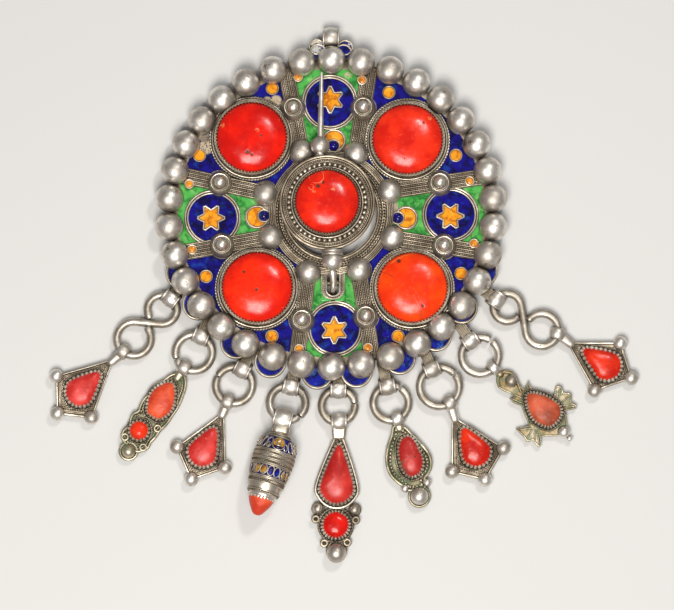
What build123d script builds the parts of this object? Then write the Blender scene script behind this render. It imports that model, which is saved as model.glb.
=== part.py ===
from build123d import *
import os
from math import asin, atan2, cos, degrees, hypot, radians, sin

os.makedirs("parts", exist_ok=True)

# A round silver brooch lying on its back, the needle towards +Y and the pendants towards -Y.
# All lengths are in millimetres. The surface that it lies on is z = 0.

# The plate is a little wider than tall.
PLATE_RX = 43.7
PLATE_RY = 41.5
PLATE_BOTTOM = 2.4
PLATE_TOP = 4.0
CELL_FLOOR = 3.5
ENAMEL_BOTTOM = 3.53
ENAMEL_TOP = 3.96
ENAMEL_GAP = 0.05
HOLE_R = 12.15
HOLE_WIRE_R = 12.9
HOLE_BAND_R = 15.5
WIRE_R = 0.32

# Hollow beads stand shoulder to shoulder on the rim.
BEAD_COUNT = 34
BEAD_R = 3.75
BEAD_RX = 44.0
BEAD_RY = 41.8
BEAD_Z = 4.6

# Eight smaller balls stand round the hole, and eight stacked domes stand beside the roundels.
INNER_BALLS = [
    (-8.1, 16.7), (6.6, 16.1), (15.7, 5.9), (16.4, -6.8),
    (7.4, -15.5), (-6.2, -16.1), (-16.4, -6.5), (-17.8, 5.3),
]
INNER_R = 3.4
INNER_Z = 3.6
STACKED_DOMES = [
    (-10.3, 28.5), (8.6, 28.6), (29.3, 8.0), (30.4, -9.1),
    (9.3, -28.2), (-7.9, -29.2), (-29.5, -8.9), (-30.1, 8.0),
]
DOME_R = 3.5
DOME_Z = 3.4
DOME_RING_R = 1.9
DOME_RING_Z = 6.35
DOME_TOP_R = 1.2
DOME_TOP_Z = 7.3

# A strip of twisted wires runs from each inner ball, under its dome, to the rim.
STRIP_HALF_WIDTH = 1.8
STRIP_RISE = 0.35
STRIP_START = -2.0
STRIP_END = 25.0

# Four large corals sit in collars on the diagonals.
CORALS = {
    "coral_nw": (-21.5, 20.2),
    "coral_ne": (20.6, 19.7),
    "coral_sw": (-19.9, -20.5),
    "coral_se": (21.8, -20.6),
}
CORAL_R = 9.6
CORAL_TOP = 9.2
COLLAR_R = 10.15
COLLAR_TOP = 7.0
COLLAR_WIRE_R = 10.75
COLLAR_GROUND_R = 11.55
SEAT_GAP = 0.06

# Four enamelled roundels with a star sit on the axes, and three of them have a crescent inwards.
ROUNDELS = {
    "north": (-0.4, 30.2),
    "east": (32.2, -0.5),
    "south": (1.0, -31.5),
    "west": (-32.1, -1.4),
}
STARS = {
    "north": (-0.3, 30.9, 90),
    "east": (32.2, -0.9, 0),
    "south": (0.8, -31.9, 90),
    "west": (-32.5, -1.4, 0),
}
ROUNDEL_R = 6.9
ROUNDEL_WIRE_R = 7.3
STAR_TIP_R = 4.0
STAR_WAIST_R = 2.3
STAR_WALL = 0.75
CRESCENTS = [(0.7, 19.7), (20.2, -1.4), (-20.1, -1.1)]
CRESCENT_R = 2.6
CRESCENT_WIRE_R = 2.9
DROPS = [(0.6, 18.3), (18.0, -1.4), (-18.2, -0.8)]
DROP_R = 1.45
DROP_Z = 4.1
ORANGE_DOTS = [
    (-9.0, 37.0), (8.3, 36.2), (37.4, 8.6), (38.5, -8.4),
    (9.9, -36.7), (-8.7, -37.0), (-37.6, -10.0), (-38.4, 7.8),
]
ORANGE_DOT_R = 0.95
YELLOW_DOTS = [
    (-16.0, 34.0), (15.6, 32.9), (33.7, 15.7), (35.0, -16.5),
    (18.0, -33.5), (-16.0, -33.5), (-33.8, -17.3), (-35.7, 15.7),
]
YELLOW_DOT_R = 1.45
DOT_WALL = 0.4

# Small enamelled scallops look out behind the beads.
SCALLOP_ANGLES = [202.1, 214.6, 234.0, 247.9, 265.1, 278.9, 295.0, 310.3, 323.7, 338.8]
SCALLOP_REACH = 43.7
SCALLOP_R = 4.3
SCALLOP_WALL = 0.7
TOP_SCALLOPS = [(-3.7, 44.0), (3.3, 43.9)]
TOP_SCALLOP_R = 2.3

# The slot lets the needle's tail loop turn round a bar that crosses it.
SLOT_X = 0.45
SLOT_HALF_WIDTH = 1.65
SLOT_NEAR = -15.5
SLOT_FAR = -22.5
FRAME_WIDTH = 1.5
FRAME_RISE = 0.4
HINGE_X = 0.6
HINGE_Y = -19.0
HINGE_Z = 3.2
HINGE_BAR_R = 0.8
TAIL_LOOP_R = 2.4
TAIL_WIRE_R = 0.72

# The needle has a disc with a coral, a ball on each side and a tapered point.
BOSS = (-1.1, 2.3)
BOSS_R = 12.6
BOSS_BOTTOM = 7.1
BOSS_TOP = 8.5
BOSS_WIRES = [(12.35, 8.2, 0.6), (11.4, 8.7, 0.45), (9.35, 8.7, 0.35)]
GRANULE_COUNT = 40
GRANULE_R = 0.5
GRANULE_CIRCLE_R = 10.4
BOSS_COLLAR_R = 8.95
BOSS_COLLAR_TOP = 10.9
BOSS_CORAL_R = 8.4
BOSS_CORAL_TOP = 12.9
NEEDLE_Z = 7.2
NEEDLE_BALL = (-3.0, 17.9)
NEEDLE_BALL_R = 2.55
NEEDLE_TIP = (-2.6, 38.2)
NEEDLE_R = 0.85
NEEDLE_TIP_R = 0.35
TAIL_BALL = (0.3, -13.4)
TAIL_BALL_R = 2.0
CUP_R = 2.5

# Every ring wire is round and goes through a strap loop on the rim and one on its pendant.
RING_WIRE_R = 1.13
RING_Z = 2.1
RIM_LOOP_R = 2.1
LOOP_BORE_R = 1.5
RIM_LOOP_LENGTH = 3.3
RIM_NECK_WIDTH = 2.6
RIM_NECK_LENGTH = 5.5
PENDANT_LOOP_R = 1.95
PENDANT_LOOP_BORE_R = 1.45
PENDANT_LOOP_LENGTH = 3.0
LOOP_INSET = 0.1
TOP_LOOP = (-0.1, 48.1)
TOP_LOOP_R = 2.5
TOP_LOOP_BORE_R = 1.6
TOP_LOOP_LENGTH = 4.2
TOP_NECK_LENGTH = 5.0

# Rings: name, centre, radius, point towards the rim, point towards the pendant, joint, gap degrees.
RINGS = [
    ("ring_2", (-37.1, -37.8), 4.94, (-34.9, -32.9), (-40.3, -42.9), 200, 7),
    ("ring_3", (-26.2, -46.6), 4.94, (-23.7, -41.8), (-27.9, -51.0), 153, 9),
    ("ring_5", (1.9, -52.2), 4.46, (1.9, -48.1), (2.1, -57.0), 8, 5),
    ("ring_6", (16.1, -51.4), 4.73, (15.0, -46.6), (18.0, -56.2), 60, 5),
    ("ring_7", (29.2, -47.0), 5.30, (27.0, -42.0), (32.5, -52.3), 40, 5),
    ("ring_8", (40.2, -38.6), 5.00, (37.4, -34.5), (44.1, -42.3), 54, 10),
]
# The fourth ring is tilted, because the barrel pendant holds its far side up.
TILTED_RING = ((-11.8, -51.6), 4.86, (-10.7, -46.4), (-13.3, -57.0), 310, 6)
TILTED_RING_TOP = 4.4
# S-shaped links: name, rim loop centre and radius, lower loop centre and radius,
# point towards the rim, point towards the pendant, and the turn of each free end.
S_LINKS = [
    ("s_link_1", (-45.7, -26.1), 3.95, (-53.3, -34.0), 4.6, (-43.0, -22.7), (-56.8, -38.3), 195, 380),
    ("s_link_9", (47.6, -25.5), 3.80, (56.9, -31.6), 4.45, (44.2, -23.2), (62.0, -32.9), 292, 476),
]

# Kite pendants: name, coral name, ring centre, ring radius, point at the loop, apex, heading,
# left corner, right corner, tip length, coral tip and coral centre along and across the kite.
KITES = [
    ("pendant_1", "coral_pendant_1", (-53.3, -34.0), 4.6, (-56.8, -38.3), (-58.9, -39.7), 224.2,
     (15.0, 7.2), (14.0, -7.5), 20.8, (4.8, -0.5), (11.7, -0.5)),
    ("pendant_3", "coral_pendant_3", (-26.2, -46.6), 4.94, (-27.9, -51.0), (-29.0, -54.0), 244.2,
     (13.2, 6.8), (13.8, -7.3), 20.0, (4.4, -0.2), (11.5, -0.2)),
    ("pendant_7", "coral_pendant_7", (29.2, -47.0), 5.30, (32.5, -52.3), (32.7, -55.1), 297.1,
     (13.8, 8.3), (13.1, -6.9), 19.1, (3.9, 0.9), (11.0, 1.3)),
    ("pendant_9", "coral_pendant_9", (56.9, -31.6), 4.45, (62.0, -32.9), (63.9, -35.1), 330.8,
     (12.4, 6.8), (12.5, -7.8), 19.5, (3.8, -0.6), (10.7, -0.2)),
]
KITE_BALL_R = 1.85
KITE_CORAL_R = 3.6
SHEET_BOTTOM = 0.6
SHEET_TOP = 1.8
BORDER_WIRE_R = 0.4
PENDANT_COLLAR_WALL = 0.55
PENDANT_COLLAR_TOP = 3.2
PENDANT_CORAL_GIRDLE = 3.1
PENDANT_CORAL_TOP = 4.7

# The leaf pendant has two corals.
LEAF_OUTLINE = [
    (-41.9, -43.2), (-43.6, -43.7), (-45.4, -45.1), (-47.6, -47.0), (-49.2, -48.6), (-50.8, -50.2),
    (-51.9, -52.4), (-52.2, -53.5), (-53.5, -54.0), (-54.4, -55.6), (-54.6, -57.2), (-56.2, -58.6),
    (-56.8, -60.2), (-56.2, -61.8), (-54.9, -63.2), (-52.7, -64.8), (-50.6, -64.5), (-49.0, -63.5),
    (-48.4, -62.1), (-47.1, -60.8), (-46.0, -59.1), (-44.1, -57.2), (-42.5, -54.8), (-41.1, -52.7),
    (-40.0, -50.2), (-39.2, -47.8), (-39.0, -45.4), (-39.8, -43.5),
]
LEAF_CORAL = [
    (-44.1, -45.8), (-42.7, -46.2), (-42.2, -47.5), (-42.2, -50.2), (-42.7, -52.9), (-44.4, -54.9),
    (-46.3, -55.9), (-48.1, -55.2), (-49.6, -54.1), (-49.6, -52.1), (-49.0, -49.7), (-47.9, -47.9),
    (-46.0, -46.6),
]
LEAF_RING = ((-37.1, -37.8), 4.94, (-40.3, -42.9))
LEAF_ROUND_CORAL = (-51.8, -58.9)
LEAF_ROUND_CORAL_R = 2.55
LEAF_BALL = (-54.6, -64.4)
LEAF_BALL_R = 1.9
LEAF_BALL_RING_R = 2.35
LEAF_CURLS = [(-46.8, -58.3), (-55.6, -60.6), (-50.7, -63.4)]
LEAF_CURL_R = 0.85

# The barrel pendant lies on its side.
BARREL_TOP = (-13.4, -59.9)
BARREL_TIP = (-19.8, -81.0)
BARREL_TOP_Z = 5.4
BARREL_TIP_Z = 7.2
BARREL_PROFILE = [
    (0.0, 2.0), (1.0, 3.2), (2.6, 4.4), (4.6, 5.2), (6.6, 5.55), (8.6, 5.5), (10.6, 5.25),
    (13.0, 4.9), (15.4, 4.6), (16.8, 4.3), (17.6, 3.6),
]
BARREL_TIP_R = 3.2
BARREL_CORAL_LENGTH = 4.6
BARREL_BANDS = [(1.0, 3.25), (5.4, 5.4), (9.3, 5.45), (13.4, 4.85), (15.2, 4.6), (16.9, 4.3)]
BARREL_LOOP_R = 2.6
BARREL_LOOP_Z = 4.4
BARREL_CELL_COUNT = 8
BARREL_CELL_R = 1.2
BARREL_CELLS = [(3.3, 4.7), (11.4, 5.1)]
BARREL_CELL_DEPTH = 0.5

# The long middle pendant has a drop coral over a round one.
DROP_RING = ((1.9, -52.2), 4.46, (2.1, -57.0))
DROP_APEX = (2.1, -59.2)
DROP_CENTER = (1.5, -74.1)
DROP_OUTER_R = 5.9
DROP_CORAL_TIP = (2.1, -62.2)
DROP_CORAL_R = 4.6
DROP_ROUND = (1.2, -84.4)
DROP_ROUND_R = 4.4
DROP_ROUND_CORAL_R = 3.6
DROP_END_BALL = (1.4, -91.9)
DROP_END_BALL_R = 2.65
DROP_SIDE_BALLS = [(-3.6, -79.9), (6.3, -80.2)]
DROP_SIDE_BALL_R = 1.4
DROP_CURLS = [(-4.2, -82.7), (6.6, -83.0), (-1.9, -89.2), (4.3, -89.0)]
DROP_CURL_R = 1.1

# The pear pendant has one worn coral.
PEAR_OUTLINE = [
    (16.7, -57.5), (16.1, -59.9), (15.0, -63.2), (14.6, -66.2), (14.9, -68.9), (16.0, -71.3),
    (17.7, -73.0), (19.1, -74.0), (21.0, -75.3), (25.3, -74.5), (25.4, -71.8), (26.4, -70.5),
    (27.1, -68.6), (27.0, -66.4), (26.0, -64.3), (23.9, -61.8), (21.8, -59.7), (19.8, -57.8),
]
PEAR_CORAL = [
    (19.6, -60.6), (21.2, -60.5), (22.5, -61.8), (23.7, -64.3), (24.6, -66.7), (24.6, -68.6),
    (23.7, -70.5), (22.1, -71.4), (20.4, -71.0), (19.1, -69.4), (18.4, -67.0), (18.1, -64.3),
    (18.5, -61.8),
]
PEAR_RING = ((16.1, -51.4), 4.73, (18.0, -56.2))
PEAR_BALLS = [(19.8, -74.5), (25.8, -72.9)]
PEAR_BALL_R = 1.15
PEAR_END_BALL = (23.7, -76.6)
PEAR_END_BALL_R = 2.2
PEAR_END_DISC_R = 2.8

# The fish pendant has fins, a ball for its head and one at its tail.
FISH_OUTLINE = [
    (45.3, -42.7), (47.2, -42.4), (48.8, -42.9), (50.1, -44.3), (50.9, -46.4), (51.8, -47.7),
    (52.4, -47.0), (53.0, -45.5), (53.8, -47.0), (54.5, -47.8), (56.3, -48.1), (58.5, -49.1),
    (60.1, -50.0), (60.1, -48.9), (60.4, -47.0), (61.2, -46.6), (62.3, -47.2), (62.6, -48.6),
    (64.3, -48.7), (64.9, -49.5), (64.7, -51.2), (66.1, -52.0), (66.1, -52.9), (64.4, -53.2),
    (63.0, -53.5), (63.4, -55.1), (63.6, -57.2), (63.6, -59.4), (61.2, -60.3), (58.5, -60.3),
    (56.5, -60.5), (56.5, -63.0), (55.8, -63.3), (55.0, -62.4), (54.2, -61.3), (53.5, -61.8),
    (52.6, -61.8), (52.0, -60.6), (50.8, -59.4), (49.7, -58.3), (53.4, -57.5), (52.8, -56.2),
    (51.9, -54.0), (51.2, -52.1), (49.1, -51.3), (48.1, -50.2), (49.5, -49.8), (48.5, -48.9),
    (46.6, -48.1), (45.1, -47.2), (44.5, -45.6), (44.5, -44.0),
]
FISH_CORAL = [
    (52.6, -49.4), (53.9, -48.7), (56.3, -49.1), (59.0, -50.2), (61.2, -51.8), (62.0, -53.5),
    (61.6, -55.4), (60.4, -57.0), (58.8, -57.9), (56.9, -57.5), (55.0, -56.4), (53.6, -54.5),
    (52.7, -51.8),
]
FISH_RING = ((40.2, -38.6), 5.00, (44.1, -42.3))
FISH_HEAD_BALL = (48.6, -45.4)
FISH_HEAD_BALL_R = 1.6
FISH_TAIL_BALL = (62.7, -59.2)
FISH_TAIL_BALL_R = 1.7
FISH_TIP_BALL = (64.2, -61.0)
FISH_TIP_BALL_R = 0.75

# How far a domed coral has narrowed at parts of its dome's height.
DOME_STEPS = [(1.0, 0.0), (0.9, 0.4), (0.68, 0.8), (0.35, 1.0)]
OUTLINED_CORALS = {
    "coral_pendant_2_leaf": LEAF_CORAL,
    "coral_pendant_6": PEAR_CORAL,
    "coral_pendant_8": FISH_CORAL,
}
ROUND_CORALS = {
    "coral_pendant_2_round": (LEAF_ROUND_CORAL, LEAF_ROUND_CORAL_R),
    "coral_pendant_5_round": (DROP_ROUND, DROP_ROUND_CORAL_R),
}


def heading(start, end):
    """The turn in degrees of the way from one point to another."""
    return degrees(atan2(end[1] - start[1], end[0] - start[0]))


def along(start, turn, distance):
    """The point at a distance from another along a turn."""
    return (start[0] + distance * cos(radians(turn)), start[1] + distance * sin(radians(turn)))


def towards(start, end, distance):
    """The point at a distance from one point on the way to another."""
    return along(start, heading(start, end), distance)


def polar(turn, reach):
    """The point at a turn and reach from the plate's centre."""
    return along((0, 0), turn, reach)


def strip_edge(place, distance, side):
    """A point on one edge of a wire strip, measured from its inner ball."""
    turn = heading(INNER_BALLS[place], STACKED_DOMES[place])
    middle = along(INNER_BALLS[place], turn, distance)
    return along(middle, turn + 90, side)


def star_points(radius, waist, turn):
    """The twelve corners of a six-pointed star."""
    reaches = [radius if k % 2 == 0 else waist for k in range(12)]
    return [polar(turn + 30 * k, reach) for k, reach in enumerate(reaches)]


def field(left, right, gap):
    """The enamel ground between two wire strips, with everything that stands on it left out."""
    far = STRIP_END + 4
    side = STRIP_HALF_WIDTH + DOT_WALL + gap
    corners = [
        strip_edge(left, STRIP_START, -side),
        strip_edge(left, far, -side),
        strip_edge(right, far, side),
        strip_edge(right, STRIP_START, side),
    ]
    with BuildSketch() as ground:
        Ellipse(PLATE_RX - 2.2 - gap, PLATE_RY - 2.2 - gap)
        Polygon(*corners, align=None, mode=Mode.INTERSECT)
        Circle(HOLE_BAND_R + 0.4 + gap, mode=Mode.SUBTRACT)
        with Locations(*bead_places):
            Circle(BEAD_R + 0.1 + gap, mode=Mode.SUBTRACT)
        with Locations(*INNER_BALLS):
            Circle(INNER_R + 0.15 + gap, mode=Mode.SUBTRACT)
        with Locations(*STACKED_DOMES):
            Circle(DOME_R + 0.15 + gap, mode=Mode.SUBTRACT)
        with Locations(*CORALS.values()):
            Circle(COLLAR_GROUND_R + gap, mode=Mode.SUBTRACT)
        with Locations(*ROUNDELS.values()):
            Circle(ROUNDEL_WIRE_R + WIRE_R + 0.1 + gap, mode=Mode.SUBTRACT)
        with Locations(*CRESCENTS):
            Circle(CRESCENT_WIRE_R + WIRE_R + 0.1 + gap, mode=Mode.SUBTRACT)
        with Locations(*[Location((*polar(turn, HOLE_BAND_R), 0), turn) for turn in (0, 90, 180)]):
            Rectangle(2 * CRESCENT_R, 2 * CRESCENT_R + gap, mode=Mode.SUBTRACT)
        with Locations(*ORANGE_DOTS):
            Circle(ORANGE_DOT_R + DOT_WALL + gap, mode=Mode.SUBTRACT)
        with Locations(*YELLOW_DOTS):
            Circle(YELLOW_DOT_R + DOT_WALL + gap, mode=Mode.SUBTRACT)
        with Locations((SLOT_X, (SLOT_NEAR + SLOT_FAR) / 2)):
            slot_half = SLOT_HALF_WIDTH + FRAME_WIDTH + gap
            Rectangle(2 * slot_half, SLOT_NEAR - SLOT_FAR + 2 * FRAME_WIDTH, mode=Mode.SUBTRACT)
    return [face for face in ground.sketch.faces() if face.area > 0.8]


def scallop_pockets(gap):
    """The enamelled part of each scallop that shows beyond the beads."""
    with BuildSketch() as pockets:
        with Locations(*scallop_places):
            Circle(SCALLOP_R - SCALLOP_WALL - gap)
        with Locations(*TOP_SCALLOPS):
            Circle(TOP_SCALLOP_R - SCALLOP_WALL + 0.2 - gap)
        with Locations(*bead_places):
            Circle(BEAD_R + 0.1 + gap, mode=Mode.SUBTRACT)
        Ellipse(PLATE_RX + gap, PLATE_RY + gap, mode=Mode.SUBTRACT)
    return [face for face in pockets.sketch.faces() if face.area > 0.5]


def roundel_ground(name, gap):
    """The blue ground of a roundel round its star."""
    star_x, star_y, turn = STARS[name]
    with BuildSketch() as ground:
        with Locations(ROUNDELS[name]):
            Circle(ROUNDEL_R - gap)
        with Locations(*STACKED_DOMES):
            Circle(DOME_R + gap, mode=Mode.SUBTRACT)
        with Locations(*bead_places):
            Circle(BEAD_R + gap, mode=Mode.SUBTRACT)
        with Locations((star_x, star_y)):
            Polygon(
                *star_points(STAR_TIP_R + gap, STAR_WAIST_R + gap, turn),
                align=None,
                mode=Mode.SUBTRACT,
            )
    return ground.sketch


def star_field(name, gap):
    """The yellow inside of a star."""
    star_x, star_y, turn = STARS[name]
    tip = STAR_TIP_R - STAR_WALL - gap
    waist = STAR_WAIST_R - STAR_WALL / 2 - gap
    with BuildSketch() as inside:
        with Locations((star_x, star_y)):
            Polygon(*star_points(tip, waist, turn), align=None)
    return inside.sketch


def crescent_field(gap):
    """The three crescents, each cut by the wall of its round drop."""
    with BuildSketch() as moons:
        with Locations(*CRESCENTS):
            Circle(CRESCENT_R - gap)
        with Locations(*DROPS):
            Circle(DROP_R + 0.3 + gap, mode=Mode.SUBTRACT)
    return [face for face in moons.sketch.faces() if face.area > 0.5]


def closed_outline(points):
    """A face inside a smooth closed line through points."""
    with BuildSketch() as outline:
        with BuildLine():
            Spline(*points, periodic=True)
        make_face()
    return outline.sketch


def teardrop(tip, center, radius):
    """A round face drawn out to a tip."""
    distance = hypot(tip[0] - center[0], tip[1] - center[1])
    turn = heading(center, tip)
    spread = 90 - degrees(asin(radius / distance))
    with BuildSketch() as drop:
        with Locations(center):
            Circle(radius)
        Polygon(
            tip,
            along(center, turn - spread, radius),
            along(center, turn + spread, radius),
            align=None,
        )
    return drop.sketch


def shrunk(points, share):
    """Points moved towards their middle."""
    middle_x = sum(point[0] for point in points) / len(points)
    middle_y = sum(point[1] for point in points) / len(points)
    return [
        (middle_x + share * (x - middle_x), middle_y + share * (y - middle_y)) for x, y in points
    ]


def grown(points, amount):
    """Points of a closed line moved outwards by an amount."""
    middle_x = sum(point[0] for point in points) / len(points)
    middle_y = sum(point[1] for point in points) / len(points)
    moved = []
    for k, point in enumerate(points):
        before = points[k - 1]
        after = points[(k + 1) % len(points)]
        turn = heading(before, after) + 90
        outwards = cos(radians(turn)) * (point[0] - middle_x)
        outwards = outwards + sin(radians(turn)) * (point[1] - middle_y)
        moved.append(along(point, turn, amount if outwards > 0 else -amount))
    return moved


def teardrop_points(tip, center, radius):
    """Points round a teardrop, starting at its tip."""
    turn = heading(center, tip)
    distance = hypot(tip[0] - center[0], tip[1] - center[1])
    belly = [along(center, turn + k * 30, radius) for k in range(3, 10)]
    left = along(along(center, turn, distance * 0.55), turn + 90, radius * 0.56)
    right = along(along(center, turn, distance * 0.55), turn - 90, radius * 0.56)
    return [towards(center, tip, distance - 0.3), left, *belly, right]


def placed(kite, point):
    """A point along and across a kite as a point on the ground."""
    middle = along(kite[5], kite[6], point[0])
    return along(middle, kite[6] + 90, point[1])


bead_turns = [90 + 360 / BEAD_COUNT * k for k in range(BEAD_COUNT)]
bead_places = [
    (BEAD_RX * cos(radians(turn)), BEAD_RY * sin(radians(turn))) for turn in bead_turns
]
scallop_places = [polar(turn, SCALLOP_REACH) for turn in SCALLOP_ANGLES]
cardinal_pairs = [(0, 1), (2, 3), (4, 5), (6, 7)]
diagonal_pairs = [(1, 2), (3, 4), (5, 6), (7, 0)]
green_cells = [face for left, right in cardinal_pairs for face in field(left, right, 0)]
blue_cells = [face for left, right in diagonal_pairs for face in field(left, right, 0)]
roundel_grounds = [roundel_ground(name, 0) for name in ROUNDELS]
star_fields = [star_field(name, 0) for name in ROUNDELS]
rim_loops = [(center, radius, rim) for _, center, radius, rim, _, _, _ in RINGS]
rim_loops.append(TILTED_RING[:3])
rim_loops += [(center, radius, rim) for _, center, radius, _, _, rim, _, _, _ in S_LINKS]
rim_loop_places = [
    (towards(center, rim, radius - LOOP_INSET), heading(center, rim))
    for center, radius, rim in rim_loops
]

# The plate and everything soldered to it: beads, balls, domes, collars, wires, strips and loops.
with BuildPart() as brooch_plate:
    # The sheet with its scallops, its round hole and its slot.
    with BuildSketch(Plane.XY.offset(PLATE_BOTTOM)):
        Ellipse(PLATE_RX, PLATE_RY)
        with Locations(*scallop_places):
            Circle(SCALLOP_R)
        with Locations(*TOP_SCALLOPS):
            Circle(TOP_SCALLOP_R)
        Circle(HOLE_R, mode=Mode.SUBTRACT)
    extrude(amount=PLATE_TOP - PLATE_BOTTOM)
    # Strips of twisted wire.
    with BuildSketch(Plane.XY.offset(PLATE_TOP)):
        for place in range(len(INNER_BALLS)):
            corners = [
                strip_edge(place, STRIP_START, STRIP_HALF_WIDTH),
                strip_edge(place, STRIP_START, -STRIP_HALF_WIDTH),
                strip_edge(place, STRIP_END, -STRIP_HALF_WIDTH),
                strip_edge(place, STRIP_END, STRIP_HALF_WIDTH),
            ]
            Polygon(*corners, align=None)
        Ellipse(PLATE_RX - 0.5, PLATE_RY - 0.5, mode=Mode.INTERSECT)
    extrude(amount=STRIP_RISE)
    # The wire band round the hole and the frame round the slot.
    with BuildSketch(Plane.XY.offset(PLATE_TOP)):
        Circle(HOLE_BAND_R)
        Circle(HOLE_R, mode=Mode.SUBTRACT)
        with Locations((SLOT_X, (SLOT_NEAR + SLOT_FAR) / 2)):
            Rectangle(2 * (SLOT_HALF_WIDTH + FRAME_WIDTH), SLOT_NEAR - SLOT_FAR + FRAME_WIDTH)
    extrude(amount=FRAME_RISE)
    with Locations((0, 0, PLATE_TOP + FRAME_RISE)):
        Torus(HOLE_WIRE_R, WIRE_R)
    # Pockets for the enamel.
    with BuildSketch(Plane.XY.offset(CELL_FLOOR)):
        add(green_cells)
        add(blue_cells)
        add(roundel_grounds)
        add(star_fields)
        add(crescent_field(0))
        add(scallop_pockets(0))
        with Locations(*ORANGE_DOTS):
            Circle(ORANGE_DOT_R)
        with Locations(*YELLOW_DOTS):
            Circle(YELLOW_DOT_R)
    extrude(amount=PLATE_TOP, mode=Mode.SUBTRACT)
    # Round wires of the roundels and crescents.
    with Locations(*[(x, y, PLATE_TOP) for x, y in ROUNDELS.values()]):
        Torus(ROUNDEL_WIRE_R, WIRE_R)
    with Locations(*[(x, y, PLATE_TOP) for x, y in CRESCENTS]):
        Torus(CRESCENT_WIRE_R, WIRE_R * 0.8)
    # Collars of the four large corals, with a round wire at their feet.
    with Locations(*[(x, y, PLATE_BOTTOM) for x, y in CORALS.values()]):
        Cylinder(
            COLLAR_R,
            COLLAR_TOP - PLATE_BOTTOM,
            align=(Align.CENTER, Align.CENTER, Align.MIN),
        )
    with Locations(*[(x, y, PLATE_TOP + WIRE_R / 2) for x, y in CORALS.values()]):
        Torus(COLLAR_WIRE_R, WIRE_R)
    # Beads, balls and stacked domes.
    with Locations(*[(x, y, BEAD_Z) for x, y in bead_places]):
        Sphere(BEAD_R)
    with Locations(*[(x, y, INNER_Z) for x, y in INNER_BALLS]):
        Sphere(INNER_R)
    with Locations(*[(x, y, DOME_Z) for x, y in STACKED_DOMES]):
        Sphere(DOME_R)
    with Locations(*[(x, y, DOME_RING_Z) for x, y in STACKED_DOMES]):
        Torus(DOME_RING_R, WIRE_R)
    with Locations(*[(x, y, DOME_TOP_Z) for x, y in STACKED_DOMES]):
        Sphere(DOME_TOP_R)
    # Seats of the corals, cut down to the sheet.
    with Locations(*[(x, y, PLATE_TOP) for x, y in CORALS.values()]):
        Cylinder(
            CORAL_R + SEAT_GAP,
            COLLAR_TOP,
            align=(Align.CENTER, Align.CENTER, Align.MIN),
            mode=Mode.SUBTRACT,
        )
    # The flat back.
    with Locations((0, 0, PLATE_BOTTOM)):
        Box(
            4 * PLATE_RX,
            4 * PLATE_RX,
            2 * PLATE_RX,
            align=(Align.CENTER, Align.CENTER, Align.MAX),
            mode=Mode.SUBTRACT,
        )
    # The slot and its hinge bar.
    with Locations((SLOT_X, (SLOT_NEAR + SLOT_FAR) / 2, PLATE_BOTTOM)):
        Box(
            2 * SLOT_HALF_WIDTH,
            SLOT_NEAR - SLOT_FAR,
            4 * PLATE_TOP,
            mode=Mode.SUBTRACT,
        )
    with Locations(Location((SLOT_X, HINGE_Y, HINGE_Z), (0, 90, 0))):
        Cylinder(HINGE_BAR_R, 2 * SLOT_HALF_WIDTH + FRAME_WIDTH)
    # Strap loops on the rim, each on a short neck.
    for place, turn in rim_loop_places:
        with Locations(Location((*place, RING_Z), (0, 0, turn))):
            with Locations((1.6, 0, PLATE_BOTTOM - RING_Z)):
                Box(
                    RIM_NECK_LENGTH,
                    RIM_NECK_WIDTH,
                    CELL_FLOOR - PLATE_BOTTOM,
                    align=(Align.MIN, Align.CENTER, Align.MIN),
                )
            Cylinder(RIM_LOOP_R, RIM_LOOP_LENGTH, rotation=(90, 0, 0))
            Cylinder(LOOP_BORE_R, 2 * RIM_LOOP_LENGTH, rotation=(90, 0, 0), mode=Mode.SUBTRACT)
    # The wider strap loop at the top.
    with Locations(Location((*TOP_LOOP, TOP_LOOP_R))):
        with Locations((0, -TOP_LOOP_R + 0.5, PLATE_BOTTOM - TOP_LOOP_R)):
            Box(
                TOP_LOOP_LENGTH - 1,
                TOP_NECK_LENGTH,
                CELL_FLOOR - PLATE_BOTTOM,
                align=(Align.CENTER, Align.MAX, Align.MIN),
            )
        Cylinder(TOP_LOOP_R, TOP_LOOP_LENGTH, rotation=(0, 90, 0))
        Cylinder(TOP_LOOP_BORE_R, 3 * TOP_LOOP_LENGTH, rotation=(0, 90, 0), mode=Mode.SUBTRACT)
brooch_plate.part.label = "brooch_plate"
export_step(brooch_plate.part, "parts/brooch_plate.step")

# Enamel in the plate's pockets.
enamel_height = ENAMEL_TOP - ENAMEL_BOTTOM
with BuildPart() as enamel_green:
    with BuildSketch(Plane.XY.offset(ENAMEL_BOTTOM)):
        for left, right in cardinal_pairs:
            add(field(left, right, ENAMEL_GAP))
    extrude(amount=enamel_height)
enamel_green.part.label = "enamel_green"
export_step(enamel_green.part, "parts/enamel_green.step")

with BuildPart() as enamel_blue:
    with BuildSketch(Plane.XY.offset(ENAMEL_BOTTOM)):
        for left, right in diagonal_pairs:
            add(field(left, right, ENAMEL_GAP))
    extrude(amount=enamel_height)
enamel_blue.part.label = "enamel_blue"
export_step(enamel_blue.part, "parts/enamel_blue.step")

for name in ROUNDELS:
    with BuildPart() as roundel:
        with BuildSketch(Plane.XY.offset(ENAMEL_BOTTOM)):
            add(roundel_ground(name, ENAMEL_GAP))
        extrude(amount=enamel_height)
    roundel.part.label = f"enamel_roundel_{name}"
    export_step(roundel.part, f"parts/enamel_roundel_{name}.step")

    with BuildPart() as star:
        with BuildSketch(Plane.XY.offset(ENAMEL_BOTTOM)):
            add(star_field(name, ENAMEL_GAP))
        extrude(amount=enamel_height)
    star.part.label = f"enamel_star_{name}"
    export_step(star.part, f"parts/enamel_star_{name}.step")

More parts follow.
